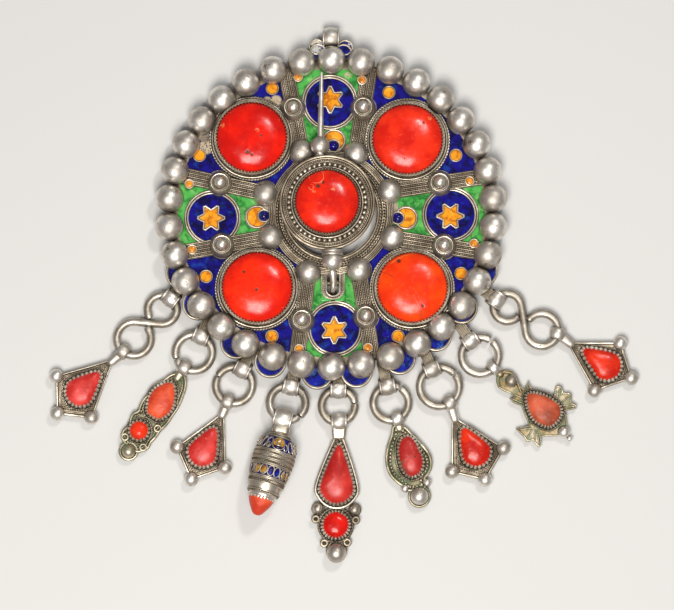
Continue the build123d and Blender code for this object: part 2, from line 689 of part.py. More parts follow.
with BuildPart() as enamel_crescents:
    with BuildSketch(Plane.XY.offset(ENAMEL_BOTTOM)):
        add(crescent_field(ENAMEL_GAP))
    extrude(amount=enamel_height)
enamel_crescents.part.label = "enamel_crescents"
export_step(enamel_crescents.part, "parts/enamel_crescents.step")

with BuildPart() as enamel_drops:
    with Locations(*[(x, y, DROP_Z) for x, y in DROPS]):
        Sphere(DROP_R)
    with Locations((0, 0, PLATE_TOP + FRAME_RISE + ENAMEL_GAP)):
        Box(
            2 * PLATE_RX,
            2 * PLATE_RX,
            PLATE_TOP,
            align=(Align.CENTER, Align.CENTER, Align.MAX),
            mode=Mode.SUBTRACT,
        )
enamel_drops.part.label = "enamel_drops"
export_step(enamel_drops.part, "parts/enamel_drops.step")

with BuildPart() as enamel_dots_orange:
    with BuildSketch(Plane.XY.offset(ENAMEL_BOTTOM)):
        with Locations(*ORANGE_DOTS):
            Circle(ORANGE_DOT_R - ENAMEL_GAP)
        with Locations(*bead_places):
            Circle(BEAD_R + ENAMEL_GAP, mode=Mode.SUBTRACT)
        with Locations(*STACKED_DOMES):
            Circle(DOME_R + ENAMEL_GAP, mode=Mode.SUBTRACT)
    extrude(amount=enamel_height)
enamel_dots_orange.part.label = "enamel_dots_orange"
export_step(enamel_dots_orange.part, "parts/enamel_dots_orange.step")

with BuildPart() as enamel_dots_yellow:
    with BuildSketch(Plane.XY.offset(ENAMEL_BOTTOM)):
        with Locations(*YELLOW_DOTS):
            Circle(YELLOW_DOT_R - ENAMEL_GAP)
        with Locations(*bead_places):
            Circle(BEAD_R + ENAMEL_GAP, mode=Mode.SUBTRACT)
        with Locations(*CORALS.values()):
            Circle(COLLAR_WIRE_R + WIRE_R + ENAMEL_GAP, mode=Mode.SUBTRACT)
    extrude(amount=enamel_height)
enamel_dots_yellow.part.label = "enamel_dots_yellow"
export_step(enamel_dots_yellow.part, "parts/enamel_dots_yellow.step")

with BuildPart() as enamel_scallops:
    with BuildSketch(Plane.XY.offset(ENAMEL_BOTTOM)):
        add(scallop_pockets(ENAMEL_GAP))
    extrude(amount=enamel_height)
enamel_scallops.part.label = "enamel_scallops"
export_step(enamel_scallops.part, "parts/enamel_scallops.step")

# The four large corals: low rounded stones.
for name, center in CORALS.items():
    with BuildPart() as coral:
        with BuildSketch(Plane.XZ):
            with BuildLine():
                Polyline(
                    (0, CORAL_TOP),
                    (0, PLATE_TOP + SEAT_GAP),
                    (CORAL_R, PLATE_TOP + SEAT_GAP),
                    (CORAL_R, COLLAR_TOP - 0.8),
                )
                Spline(
                    (CORAL_R, COLLAR_TOP - 0.8),
                    (CORAL_R * 0.82, CORAL_TOP - 0.95),
                    (CORAL_R * 0.45, CORAL_TOP - 0.2),
                    (0, CORAL_TOP),
                    tangents=((0, 1), (-1, 0)),
                )
            make_face()
        revolve(axis=Axis.Z)
    coral.part.label = name
    coral.part.locate(Location((*center, 0)))
    export_step(coral.part, f"parts/{name}.step")

strand_start = Vector(*TAIL_BALL, NEEDLE_Z - 0.2)
strand_way = Vector(HINGE_X, HINGE_Y, HINGE_Z + TAIL_LOOP_R) - strand_start
strand_plane = Plane(origin=strand_start, z_dir=strand_way)

# The needle: disc, collar, granules, balls, tapered rod, cup and tail loop in one piece.
with BuildPart() as needle:
    with BuildSketch(Plane.XY.offset(BOSS_BOTTOM)):
        with Locations(BOSS):
            Circle(BOSS_R)
    extrude(amount=BOSS_TOP - BOSS_BOTTOM)
    with BuildSketch(Plane.XY.offset(BOSS_BOTTOM)):
        with Locations(BOSS):
            Circle(BOSS_COLLAR_R)
    extrude(amount=BOSS_COLLAR_TOP - BOSS_BOTTOM)
    for wire_circle, wire_z, wire_r in BOSS_WIRES:
        with Locations((*BOSS, wire_z)):
            Torus(wire_circle, wire_r)
    with Locations((*BOSS, BOSS_TOP + GRANULE_R / 3)):
        with PolarLocations(GRANULE_CIRCLE_R, GRANULE_COUNT):
            Sphere(GRANULE_R)
    with BuildSketch(Plane.XY.offset(BOSS_TOP)):
        with Locations(BOSS):
            Circle(BOSS_CORAL_R + SEAT_GAP)
    extrude(amount=BOSS_TOP, mode=Mode.SUBTRACT)
    # The cup and the ball at the tail.
    with Locations(Location((TAIL_BALL[0], TAIL_BALL[1] + 2.4, NEEDLE_Z), (90, 0, 0))):
        Cone(CUP_R * 0.7, CUP_R, 2.0)
    with Locations((*TAIL_BALL, NEEDLE_Z)):
        Sphere(TAIL_BALL_R)
    # The ball and the tapered rod towards the rim.
    with Locations((*NEEDLE_BALL, NEEDLE_Z)):
        Sphere(NEEDLE_BALL_R)
    with BuildSketch(Plane.XZ.offset(-NEEDLE_BALL[1])):
        with Locations((NEEDLE_BALL[0], NEEDLE_Z)):
            Circle(NEEDLE_R)
    with BuildSketch(Plane.XZ.offset(-NEEDLE_TIP[1])):
        with Locations((NEEDLE_TIP[0], NEEDLE_Z)):
            Circle(NEEDLE_TIP_R)
    loft()
    with Locations((*NEEDLE_TIP, NEEDLE_Z)):
        Sphere(NEEDLE_TIP_R)
    # A short neck joins the first ball to the disc.
    neck_turn = heading(NEEDLE_BALL, BOSS)
    with Locations(Location((*towards(NEEDLE_BALL, BOSS, 2.6), NEEDLE_Z + 0.4), (0, 0, neck_turn))):
        Cylinder(1.1, 3.0, rotation=(0, 90, 0))
    # The tail strand runs down to a round eye about the hinge bar.
    with Locations(Location((HINGE_X, HINGE_Y, HINGE_Z), (0, 90, 0))):
        Torus(TAIL_LOOP_R, TAIL_WIRE_R)
    with Locations(strand_plane.location):
        Cylinder(
            TAIL_WIRE_R,
            strand_way.length,
            align=(Align.CENTER, Align.CENTER, Align.MIN),
        )
needle.part.label = "needle"
export_step(needle.part, "parts/needle.step")

with BuildPart() as coral_center:
    with BuildSketch(Plane.XZ):
        with BuildLine():
            Polyline(
                (0, BOSS_CORAL_TOP),
                (0, BOSS_TOP + SEAT_GAP),
                (BOSS_CORAL_R, BOSS_TOP + SEAT_GAP),
                (BOSS_CORAL_R, BOSS_COLLAR_TOP - 0.7),
            )
            Spline(
                (BOSS_CORAL_R, BOSS_COLLAR_TOP - 0.7),
                (BOSS_CORAL_R * 0.82, BOSS_CORAL_TOP - 0.9),
                (BOSS_CORAL_R * 0.45, BOSS_CORAL_TOP - 0.2),
                (0, BOSS_CORAL_TOP),
                tangents=((0, 1), (-1, 0)),
            )
        make_face()
    revolve(axis=Axis.Z)
coral_center.part.label = "coral_center"
coral_center.part.locate(Location((*BOSS, 0)))
export_step(coral_center.part, "parts/coral_center.step")

# Round rings with a narrow joint.
for name, center, radius, rim, loop, joint, gap in RINGS:
    with BuildPart() as ring:
        Torus(radius, RING_WIRE_R, major_angle=360 - gap, align=None)
    ring.part.label = name
    ring.part.locate(Location((*center, RING_Z), (0, 0, joint + gap / 2)))
    export_step(ring.part, f"parts/{name}.step")

tilted_center, tilted_radius, tilted_rim, tilted_loop, tilted_joint, tilted_gap = TILTED_RING
tilted_turn = heading(tilted_center, tilted_loop)
tilt = degrees(asin((TILTED_RING_TOP - RING_Z) / (2 * tilted_radius)))
with BuildPart() as ring_4:
    Torus(tilted_radius, RING_WIRE_R, major_angle=360 - tilted_gap, align=None)
ring_4.part.label = "ring_4"
tilted_place = Location((*tilted_center, (TILTED_RING_TOP + RING_Z) / 2), (0, 0, tilted_turn))
tilted_spin = Location((0, 0, 0), (0, 0, tilted_joint - tilted_turn + tilted_gap / 2))
ring_4.part.locate(tilted_place * Location((0, 0, 0), (0, -tilt, 0)) * tilted_spin)
export_step(ring_4.part, "parts/ring_4.step")

# S-shaped links: an open loop, a straight crossing and a second open loop in one wire.
for name, first, first_r, second, second_r, rim, loop, first_end, second_end in S_LINKS:
    line_turn = heading(first, second)
    span = hypot(second[0] - first[0], second[1] - first[1])
    line_turn = line_turn - degrees(asin((first_r + second_r) / span))
    first_stop = line_turn + 90
    second_start = line_turn - 90
    with BuildPart() as link:
        with BuildLine(Plane.XY.offset(RING_Z)) as wire:
            first_arc = CenterArc(first, first_r, first_end, -((first_end - first_stop) % 360))
            second_arc = CenterArc(
                second, second_r, second_start, (second_end - second_start) % 360
            )
            Line(along(first, first_stop, first_r), along(second, second_start, second_r))
        with BuildSketch(Plane(origin=first_arc @ 0, z_dir=first_arc % 0)):
            Circle(RING_WIRE_R)
        sweep(path=wire.wires()[0])
    link.part.label = name
    export_step(link.part, f"parts/{name}.step")

# Kite pendants: a bordered sheet with three balls, a drop coral in a collar and a strap loop.
for kite in KITES:
    name, coral_name, ring_center, ring_r, loop, apex, turn, left, right, reach, tip, center = kite
    loop_place = towards(ring_center, loop, ring_r - LOOP_INSET)
    corners = [apex, placed(kite, left), placed(kite, (reach, 0)), placed(kite, right)]
    ways = [(corners[k], corners[(k + 1) % 4]) for k in range(4)]
    drop_points = teardrop_points(placed(kite, tip), placed(kite, center), KITE_CORAL_R)
    with BuildPart() as pendant:
        with BuildSketch(Plane.XY.offset(SHEET_BOTTOM)):
            Polygon(*corners, align=None)
        extrude(amount=SHEET_TOP - SHEET_BOTTOM)
        # Round border wires from corner to corner.
        for start, end in ways:
            length = hypot(end[0] - start[0], end[1] - start[1])
            way = Plane(origin=(*start, SHEET_TOP), z_dir=(end[0] - start[0], end[1] - start[1], 0))
            with Locations(way.location):
                Cylinder(
                    BORDER_WIRE_R,
                    length,
                    align=(Align.CENTER, Align.CENTER, Align.MIN),
                )
        with Locations((*apex, SHEET_BOTTOM)):
            Cylinder(
                BORDER_WIRE_R * 2,
                SHEET_TOP - SHEET_BOTTOM + 0.45,
                align=(Align.CENTER, Align.CENTER, Align.MIN),
            )
        # The collar of the drop.
        with BuildSketch(Plane.XY.offset(SHEET_BOTTOM)):
            add(closed_outline(grown(drop_points, PENDANT_COLLAR_WALL)))
        extrude(amount=PENDANT_COLLAR_TOP - SHEET_BOTTOM)
        with Locations(*[(*corner, KITE_BALL_R) for corner in corners[1:]]):
            Sphere(KITE_BALL_R)
        # The strap loop on its neck.
        with Locations(Location((*apex, SHEET_BOTTOM), (0, 0, heading(apex, loop_place)))):
            Box(
                hypot(apex[0] - loop_place[0], apex[1] - loop_place[1]) + 0.6,
                RIM_NECK_WIDTH,
                SHEET_TOP - SHEET_BOTTOM + 0.6,
                align=(Align.MIN, Align.CENTER, Align.MIN),
            )
        with Locations(
            Location((*apex, SHEET_BOTTOM), (0, 0, heading(apex, loop_place) + 180))
        ):
            Box(
                2.4,
                RIM_NECK_WIDTH - 0.6,
                SHEET_TOP - SHEET_BOTTOM + 0.3,
                align=(Align.MIN, Align.CENTER, Align.MIN),
            )
        with Locations(Location((*loop_place, RING_Z), (0, 0, heading(ring_center, loop)))):
            Cylinder(PENDANT_LOOP_R, PENDANT_LOOP_LENGTH, rotation=(90, 0, 0))
            Cylinder(
                PENDANT_LOOP_BORE_R,
                2 * PENDANT_LOOP_LENGTH,
                rotation=(90, 0, 0),
                mode=Mode.SUBTRACT,
            )
        with BuildSketch(Plane.XY.offset(SHEET_TOP)):
            add(closed_outline(grown(drop_points, SEAT_GAP)))
        extrude(amount=PENDANT_CORAL_TOP, mode=Mode.SUBTRACT)
    pendant.part.label = name
    export_step(pendant.part, f"parts/{name}.step")

    with BuildPart() as coral:
        with BuildSketch(Plane.XY.offset(SHEET_TOP + SEAT_GAP)):
            add(closed_outline(drop_points))
        extrude(amount=PENDANT_CORAL_GIRDLE - SHEET_TOP - SEAT_GAP)
        for share, height in DOME_STEPS:
            dome_z = PENDANT_CORAL_GIRDLE + height * (PENDANT_CORAL_TOP - PENDANT_CORAL_GIRDLE)
            with BuildSketch(Plane.XY.offset(dome_z)):
                add(closed_outline(shrunk(drop_points, share)))
        loft()
    coral.part.label = coral_name
    export_step(coral.part, f"parts/{coral_name}.step")

# The leaf pendant: a bordered sheet, two collars, curls, an end ball in a ring and a loop.
leaf_loop = towards(LEAF_RING[0], LEAF_RING[2], LEAF_RING[1] - LOOP_INSET)
with BuildPart() as pendant_2:
    with BuildSketch(Plane.XY.offset(SHEET_BOTTOM)):
        add(closed_outline(LEAF_OUTLINE))
    extrude(amount=SHEET_TOP - SHEET_BOTTOM)
    with BuildSketch(Plane.XY.offset(SHEET_TOP)):
        add(closed_outline(LEAF_OUTLINE))
        add(closed_outline(shrunk(LEAF_OUTLINE, 0.92)), mode=Mode.SUBTRACT)
    extrude(amount=BORDER_WIRE_R)
    with BuildSketch(Plane.XY.offset(SHEET_BOTTOM)):
        add(closed_outline(grown(LEAF_CORAL, PENDANT_COLLAR_WALL)))
        with Locations(LEAF_ROUND_CORAL):
            Circle(LEAF_ROUND_CORAL_R + PENDANT_COLLAR_WALL)
    extrude(amount=PENDANT_COLLAR_TOP - SHEET_BOTTOM)
    with Locations(*[(*curl, SHEET_TOP + BORDER_WIRE_R / 2) for curl in LEAF_CURLS]):
        Torus(LEAF_CURL_R, BORDER_WIRE_R * 0.9)
    with Locations((*LEAF_BALL, LEAF_BALL_R)):
        Sphere(LEAF_BALL_R)
    with Locations((*LEAF_BALL, SHEET_TOP - 0.2)):
        Torus(LEAF_BALL_RING_R, BORDER_WIRE_R)
        Cylinder(LEAF_BALL_RING_R, 1.0)
    with Locations(
        Location((*leaf_loop, SHEET_BOTTOM), (0, 0, heading(LEAF_RING[0], LEAF_RING[2])))
    ):
        Box(
            3.6,
            RIM_NECK_WIDTH,
            SHEET_TOP - SHEET_BOTTOM,
            align=(Align.MIN, Align.CENTER, Align.MIN),
        )
    with Locations(
        Location((*leaf_loop, RING_Z), (0, 0, heading(LEAF_RING[0], LEAF_RING[2])))
    ):
        Cylinder(PENDANT_LOOP_R, PENDANT_LOOP_LENGTH, rotation=(90, 0, 0))
        Cylinder(
            PENDANT_LOOP_BORE_R,
            2 * PENDANT_LOOP_LENGTH,
            rotation=(90, 0, 0),
            mode=Mode.SUBTRACT,
        )
    with BuildSketch(Plane.XY.offset(SHEET_TOP)):
        add(closed_outline(grown(LEAF_CORAL, SEAT_GAP)))
        with Locations(LEAF_ROUND_CORAL):
            Circle(LEAF_ROUND_CORAL_R + SEAT_GAP)
    extrude(amount=PENDANT_CORAL_TOP, mode=Mode.SUBTRACT)
pendant_2.part.label = "pendant_2"
export_step(pendant_2.part, "parts/pendant_2.step")

# Domed corals of the leaf, pear and fish pendants.
for name, outline in OUTLINED_CORALS.items():
    with BuildPart() as coral:
        with BuildSketch(Plane.XY.offset(SHEET_TOP + SEAT_GAP)):
            add(closed_outline(outline))
        extrude(amount=PENDANT_CORAL_GIRDLE - SHEET_TOP - SEAT_GAP)
        for share, height in DOME_STEPS:
            dome_z = PENDANT_CORAL_GIRDLE + height * (PENDANT_CORAL_TOP - PENDANT_CORAL_GIRDLE)
            with BuildSketch(Plane.XY.offset(dome_z)):
                add(closed_outline(shrunk(outline, share)))
        loft()
    coral.part.label = name
    export_step(coral.part, f"parts/{name}.step")

# Round corals of the leaf and drop pendants.
for name, (center, radius) in ROUND_CORALS.items():
    with BuildPart() as coral:
        with BuildSketch(Plane.XZ):
            with BuildLine():
                Polyline(
                    (0, PENDANT_CORAL_TOP),
                    (0, SHEET_TOP + SEAT_GAP),
                    (radius, SHEET_TOP + SEAT_GAP),
                    (radius, PENDANT_CORAL_GIRDLE),
                )
                Spline(
                    (radius, PENDANT_CORAL_GIRDLE),
                    (radius * 0.7, PENDANT_CORAL_TOP - 0.45),
                    (0, PENDANT_CORAL_TOP),
                    tangents=((0, 1), (-1, 0)),
                )
            make_face()
        revolve(axis=Axis.Z)
    coral.part.label = name
    coral.part.locate(Location((*center, 0)))
    export_step(coral.part, f"parts/{name}.step")

# The barrel pendant: a turned body on its side with raised bands, cells and a coral tip.
barrel_way = Vector(*BARREL_TIP, BARREL_TIP_Z) - Vector(*BARREL_TOP, BARREL_TOP_Z)
barrel_plane = Plane(origin=(*BARREL_TOP, BARREL_TOP_Z), z_dir=barrel_way)
barrel_loop = towards(TILTED_RING[0], TILTED_RING[3], tilted_radius * cos(radians(tilt)))
with BuildPart() as pendant_4:
    with BuildSketch(Plane.XZ):
        with BuildLine():
            Spline(*[(radius, distance) for distance, radius in BARREL_PROFILE])
            Polyline(
                (BARREL_PROFILE[-1][1], BARREL_PROFILE[-1][0]),
                (0, BARREL_PROFILE[-1][0]),
                (0, BARREL_PROFILE[0][0]),
                (BARREL_PROFILE[0][1], BARREL_PROFILE[0][0]),
            )
        make_face()
    revolve(axis=Axis.Z)
    with Locations((0, 0, BARREL_PROFILE[-1][0])):
        Cylinder(
            BARREL_TIP_R + 0.35,
            0.8,
            align=(Align.CENTER, Align.CENTER, Align.MIN),
        )
    for distance, radius in BARREL_BANDS:
        with Locations((0, 0, distance)):
            Torus(radius, BORDER_WIRE_R)
    # Pockets for the enamel of the two zones.
    for distance, radius in BARREL_CELLS:
        with Locations((0, 0, distance)):
            with PolarLocations(radius + BARREL_CELL_R - BARREL_CELL_DEPTH, BARREL_CELL_COUNT):
                Sphere(BARREL_CELL_R, mode=Mode.SUBTRACT)
pendant_4.part.locate(barrel_plane.location)
loop_part = Location((*barrel_loop, BARREL_LOOP_Z), (0, 0, tilted_turn)) * (
    Cylinder(BARREL_LOOP_R, PENDANT_LOOP_LENGTH, rotation=(90, 0, 0))
    + Location((BARREL_LOOP_R - 0.5, 0, 0.3))
    * Box(2.4, PENDANT_LOOP_LENGTH, 3.0, align=(Align.MIN, Align.CENTER, Align.CENTER))
)
loop_bore = Location((*barrel_loop, BARREL_LOOP_Z), (0, 0, tilted_turn)) * Cylinder(
    PENDANT_LOOP_BORE_R + 0.25, 2 * PENDANT_LOOP_LENGTH, rotation=(90, 0, 0)
)
barrel = pendant_4.part + loop_part - loop_bore
barrel.label = "pendant_4"
export_step(barrel, "parts/pendant_4.step")

with BuildPart() as enamel_barrel:
    for distance, radius in BARREL_CELLS:
        with Locations((0, 0, distance)):
            with PolarLocations(radius + BARREL_CELL_R - BARREL_CELL_DEPTH, BARREL_CELL_COUNT):
                Sphere(BARREL_CELL_R - ENAMEL_GAP)
    with BuildSketch(Plane.XZ):
        with BuildLine():
            Spline(*[(radius - 0.05, distance) for distance, radius in BARREL_PROFILE])
            Polyline(
                (BARREL_PROFILE[-1][1] - 0.05, BARREL_PROFILE[-1][0]),
                (0, BARREL_PROFILE[-1][0]),
                (0, BARREL_PROFILE[0][0]),
                (BARREL_PROFILE[0][1] - 0.05, BARREL_PROFILE[0][0]),
            )
        make_face()
    revolve(axis=Axis.Z, mode=Mode.INTERSECT)
enamel_barrel.part.label = "enamel_barrel"
enamel_barrel.part.locate(barrel_plane.location)
export_step(enamel_barrel.part, "parts/enamel_barrel.step")

with BuildPart() as coral_pendant_4:
    with BuildSketch(Plane.XZ):
        tip_start = BARREL_PROFILE[-1][0] + 0.8 + SEAT_GAP
        with BuildLine():
            Polyline((0, tip_start), (BARREL_TIP_R, tip_start))
            Spline(
                (BARREL_TIP_R, tip_start),
                (BARREL_TIP_R * 0.8, tip_start + BARREL_CORAL_LENGTH * 0.45),
                (BARREL_TIP_R * 0.35, tip_start + BARREL_CORAL_LENGTH * 0.88),
                (0, tip_start + BARREL_CORAL_LENGTH),
            )
            Line((0, tip_start + BARREL_CORAL_LENGTH), (0, tip_start))
        make_face()
    revolve(axis=Axis.Z)
coral_pendant_4.part.label = "coral_pendant_4"
coral_pendant_4.part.locate(barrel_plane.location)
export_step(coral_pendant_4.part, "parts/coral_pendant_4.step")

# The middle pendant: a drop over a round collar, side balls, curls and an end ball.
middle_drop = teardrop_points(DROP_CORAL_TIP, DROP_CENTER, DROP_CORAL_R)
drop_loop = towards(DROP_RING[0], DROP_RING[2], DROP_RING[1] - LOOP_INSET)
with BuildPart() as pendant_5:
    with BuildSketch(Plane.XY.offset(SHEET_BOTTOM)):
        add(teardrop(DROP_APEX, DROP_CENTER, DROP_OUTER_R))
        with Locations(DROP_ROUND):
            Circle(DROP_ROUND_R + 0.5)
        with Locations(*DROP_CURLS):
            Circle(DROP_CURL_R)
        with Locations((DROP_ROUND[0], (DROP_CENTER[1] + DROP_END_BALL[1]) / 2)):
            Rectangle(DROP_ROUND_R, DROP_CENTER[1] - DROP_END_BALL[1])
        with Locations(*DROP_SIDE_BALLS):
            Circle(DROP_SIDE_BALL_R + 0.4)
    extrude(amount=SHEET_TOP - SHEET_BOTTOM)
    with BuildSketch(Plane.XY.offset(SHEET_BOTTOM)):
        add(closed_outline(grown(middle_drop, PENDANT_COLLAR_WALL)))
        with Locations(DROP_ROUND):
            Circle(DROP_ROUND_CORAL_R + PENDANT_COLLAR_WALL)
    extrude(amount=PENDANT_COLLAR_TOP - SHEET_BOTTOM)
    with Locations(*[(*curl, SHEET_TOP + BORDER_WIRE_R / 2) for curl in DROP_CURLS]):
        Torus(DROP_CURL_R - BORDER_WIRE_R, BORDER_WIRE_R)
    with Locations(*[(*ball, SHEET_TOP) for ball in DROP_SIDE_BALLS]):
        Sphere(DROP_SIDE_BALL_R)
    with Locations((*DROP_END_BALL, DROP_END_BALL_R)):
        Sphere(DROP_END_BALL_R)
    with Locations(Location((*DROP_APEX, SHEET_BOTTOM), (0, 0, heading(DROP_APEX, drop_loop)))):
        with Locations((-1.8, 0, 0)):
            Box(
                hypot(DROP_APEX[0] - drop_loop[0], DROP_APEX[1] - drop_loop[1]) + 1.8,
                RIM_NECK_WIDTH + 0.4,
                SHEET_TOP - SHEET_BOTTOM + 0.6,
                align=(Align.MIN, Align.CENTER, Align.MIN),
            )
    with Locations(
        Location((*drop_loop, RING_Z), (0, 0, heading(DROP_RING[0], DROP_RING[2])))
    ):
        Cylinder(PENDANT_LOOP_R, PENDANT_LOOP_LENGTH + 0.6, rotation=(90, 0, 0))
        Cylinder(
            PENDANT_LOOP_BORE_R + 0.05,
            2 * PENDANT_LOOP_LENGTH,
            rotation=(90, 0, 0),
            mode=Mode.SUBTRACT,
        )
    with BuildSketch(Plane.XY.offset(SHEET_TOP)):
        add(closed_outline(grown(middle_drop, SEAT_GAP)))
        with Locations(DROP_ROUND):
            Circle(DROP_ROUND_CORAL_R + SEAT_GAP)
    extrude(amount=PENDANT_CORAL_TOP, mode=Mode.SUBTRACT)
pendant_5.part.label = "pendant_5"
export_step(pendant_5.part, "parts/pendant_5.step")

# The pear pendant: a bordered sheet, a collar, two small balls, an end ball and a loop.
pear_loop = towards(PEAR_RING[0], PEAR_RING[2], PEAR_RING[1] - LOOP_INSET)
with BuildPart() as pendant_6:
    with BuildSketch(Plane.XY.offset(SHEET_BOTTOM)):
        add(closed_outline(PEAR_OUTLINE))
        with Locations(PEAR_END_BALL):
            Circle(PEAR_END_DISC_R)
    extrude(amount=SHEET_TOP - SHEET_BOTTOM)
    with BuildSketch(Plane.XY.offset(SHEET_TOP)):
        add(closed_outline(PEAR_OUTLINE))
        add(closed_outline(shrunk(PEAR_OUTLINE, 0.92)), mode=Mode.SUBTRACT)
    extrude(amount=BORDER_WIRE_R)
    with BuildSketch(Plane.XY.offset(SHEET_BOTTOM)):
        add(closed_outline(grown(PEAR_CORAL, PENDANT_COLLAR_WALL)))
    extrude(amount=PENDANT_COLLAR_TOP - SHEET_BOTTOM)
    with Locations(*[(*ball, SHEET_TOP) for ball in PEAR_BALLS]):
        Sphere(PEAR_BALL_R)
    with Locations((*PEAR_END_BALL, PEAR_END_BALL_R)):
        Sphere(PEAR_END_BALL_R)
    with Locations((*PEAR_END_BALL, SHEET_TOP)):
        Torus(PEAR_END_DISC_R - BORDER_WIRE_R / 2, BORDER_WIRE_R)
    with Locations(
        Location((*pear_loop, SHEET_BOTTOM), (0, 0, heading(PEAR_RING[0], PEAR_RING[2])))
    ):
        Box(
            3.4,
            RIM_NECK_WIDTH,
            SHEET_TOP - SHEET_BOTTOM + 0.3,
            align=(Align.MIN, Align.CENTER, Align.MIN),
        )
    with Locations(
        Location((*pear_loop, RING_Z), (0, 0, heading(PEAR_RING[0], PEAR_RING[2])))
    ):
        Cylinder(PENDANT_LOOP_R, PENDANT_LOOP_LENGTH, rotation=(90, 0, 0))
        Cylinder(
            PENDANT_LOOP_BORE_R,
            2 * PENDANT_LOOP_LENGTH,
            rotation=(90, 0, 0),
            mode=Mode.SUBTRACT,
        )
    with BuildSketch(Plane.XY.offset(SHEET_TOP)):
        add(closed_outline(grown(PEAR_CORAL, SEAT_GAP)))
    extrude(amount=PENDANT_CORAL_TOP, mode=Mode.SUBTRACT)
pendant_6.part.label = "pendant_6"
export_step(pendant_6.part, "parts/pendant_6.step")

# The fish pendant: a cut sheet with fins, a collar, a head ball and two tail balls.
fish_loop = towards(FISH_RING[0], FISH_RING[2], FISH_RING[1] - LOOP_INSET)
with BuildPart() as pendant_8:
    with BuildSketch(Plane.XY.offset(SHEET_BOTTOM)):
        Polygon(*FISH_OUTLINE, align=None)
    extrude(amount=SHEET_TOP - SHEET_BOTTOM)
    with BuildSketch(Plane.XY.offset(SHEET_BOTTOM)):
        add(closed_outline(grown(FISH_CORAL, PENDANT_COLLAR_WALL)))
    extrude(amount=PENDANT_COLLAR_TOP - SHEET_BOTTOM)
    with Locations((*FISH_HEAD_BALL, SHEET_TOP)):
        Sphere(FISH_HEAD_BALL_R)
    with Locations((*FISH_TAIL_BALL, FISH_TAIL_BALL_R)):
        Sphere(FISH_TAIL_BALL_R)
    with Locations((*FISH_TIP_BALL, FISH_TAIL_BALL_R)):
        Sphere(FISH_TIP_BALL_R)
    with Locations(
        Location((*fish_loop, SHEET_BOTTOM), (0, 0, heading(FISH_RING[0], FISH_RING[2])))
    ):
        Box(
            3.0,
            RIM_NECK_WIDTH - 0.4,
            SHEET_TOP - SHEET_BOTTOM,
            align=(Align.MIN, Align.CENTER, Align.MIN),
        )
    with Locations(
        Location((*fish_loop, RING_Z), (0, 0, heading(FISH_RING[0], FISH_RING[2])))
    ):
        Cylinder(PENDANT_LOOP_R, PENDANT_LOOP_LENGTH - 0.6, rotation=(90, 0, 0))
        Cylinder(
            PENDANT_LOOP_BORE_R,
            2 * PENDANT_LOOP_LENGTH,
            rotation=(90, 0, 0),
            mode=Mode.SUBTRACT,
        )
    with BuildSketch(Plane.XY.offset(SHEET_TOP)):
        add(closed_outline(grown(FISH_CORAL, SEAT_GAP)))
    extrude(amount=PENDANT_CORAL_TOP, mode=Mode.SUBTRACT)
pendant_8.part.label = "pendant_8"
export_step(pendant_8.part, "parts/pendant_8.step")

# The drop coral of the middle pendant.
with BuildPart() as coral_pendant_5_drop:
    with BuildSketch(Plane.XY.offset(SHEET_TOP + SEAT_GAP)):
        add(closed_outline(middle_drop))
    extrude(amount=PENDANT_CORAL_GIRDLE - SHEET_TOP - SEAT_GAP)
    for share, height in DOME_STEPS:
        dome_z = PENDANT_CORAL_GIRDLE + height * (PENDANT_CORAL_TOP + 0.4 - PENDANT_CORAL_GIRDLE)
        with BuildSketch(Plane.XY.offset(dome_z)):
            add(closed_outline(shrunk(middle_drop, share)))
    loft()
coral_pendant_5_drop.part.label = "coral_pendant_5_drop"
export_step(coral_pendant_5_drop.part, "parts/coral_pendant_5_drop.step")
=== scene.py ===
# %% [markdown]
# # A round silver brooch with coral, enamel and nine pendants
# The brooch lies on its back on a pale table. The solids give the plate, its cells and every place.
# This script adds what a silversmith adds to the sheet: twisted wires, serrated collars, hollow
# beads, granules and polished stones, and then the finishes of old silver, enamel and coral.

# %% The frame
import bpy
from math import asin, atan2, ceil, cos, degrees, hypot, pi, radians, sin, tau
from mathutils import Euler, Matrix, Vector


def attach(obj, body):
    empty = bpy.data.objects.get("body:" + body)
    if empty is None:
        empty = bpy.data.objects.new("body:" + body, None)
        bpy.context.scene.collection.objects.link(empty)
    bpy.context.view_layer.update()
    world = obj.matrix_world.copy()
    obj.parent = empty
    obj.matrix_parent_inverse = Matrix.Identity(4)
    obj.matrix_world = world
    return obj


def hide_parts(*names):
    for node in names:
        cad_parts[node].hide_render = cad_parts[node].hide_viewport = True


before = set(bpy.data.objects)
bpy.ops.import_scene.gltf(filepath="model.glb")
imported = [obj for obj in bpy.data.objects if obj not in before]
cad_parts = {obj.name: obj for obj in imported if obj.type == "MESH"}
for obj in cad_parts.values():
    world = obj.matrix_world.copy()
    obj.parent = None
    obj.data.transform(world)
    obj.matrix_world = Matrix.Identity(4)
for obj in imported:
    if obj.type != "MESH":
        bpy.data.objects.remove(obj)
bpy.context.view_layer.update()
scene = bpy.context.scene
MM = 0.001

# %% [markdown]
# ## Camera, table and light
# The photograph looks almost straight down, about six degrees from the plumb line, from far
# away. A long lens from far away keeps the outline true. The soft light hangs over the pendants,
# and a smaller one from the upper right leaves a second highlight on each bead.

# %% Camera
VIEW_CENTER = Vector((1.54, -24.95, 3.0)) * MM
VIEW_DISTANCE = 1.2
VIEW_TILT = radians(84)
VIEW_WIDTH = 0.182
SENSOR_WIDTH = 36

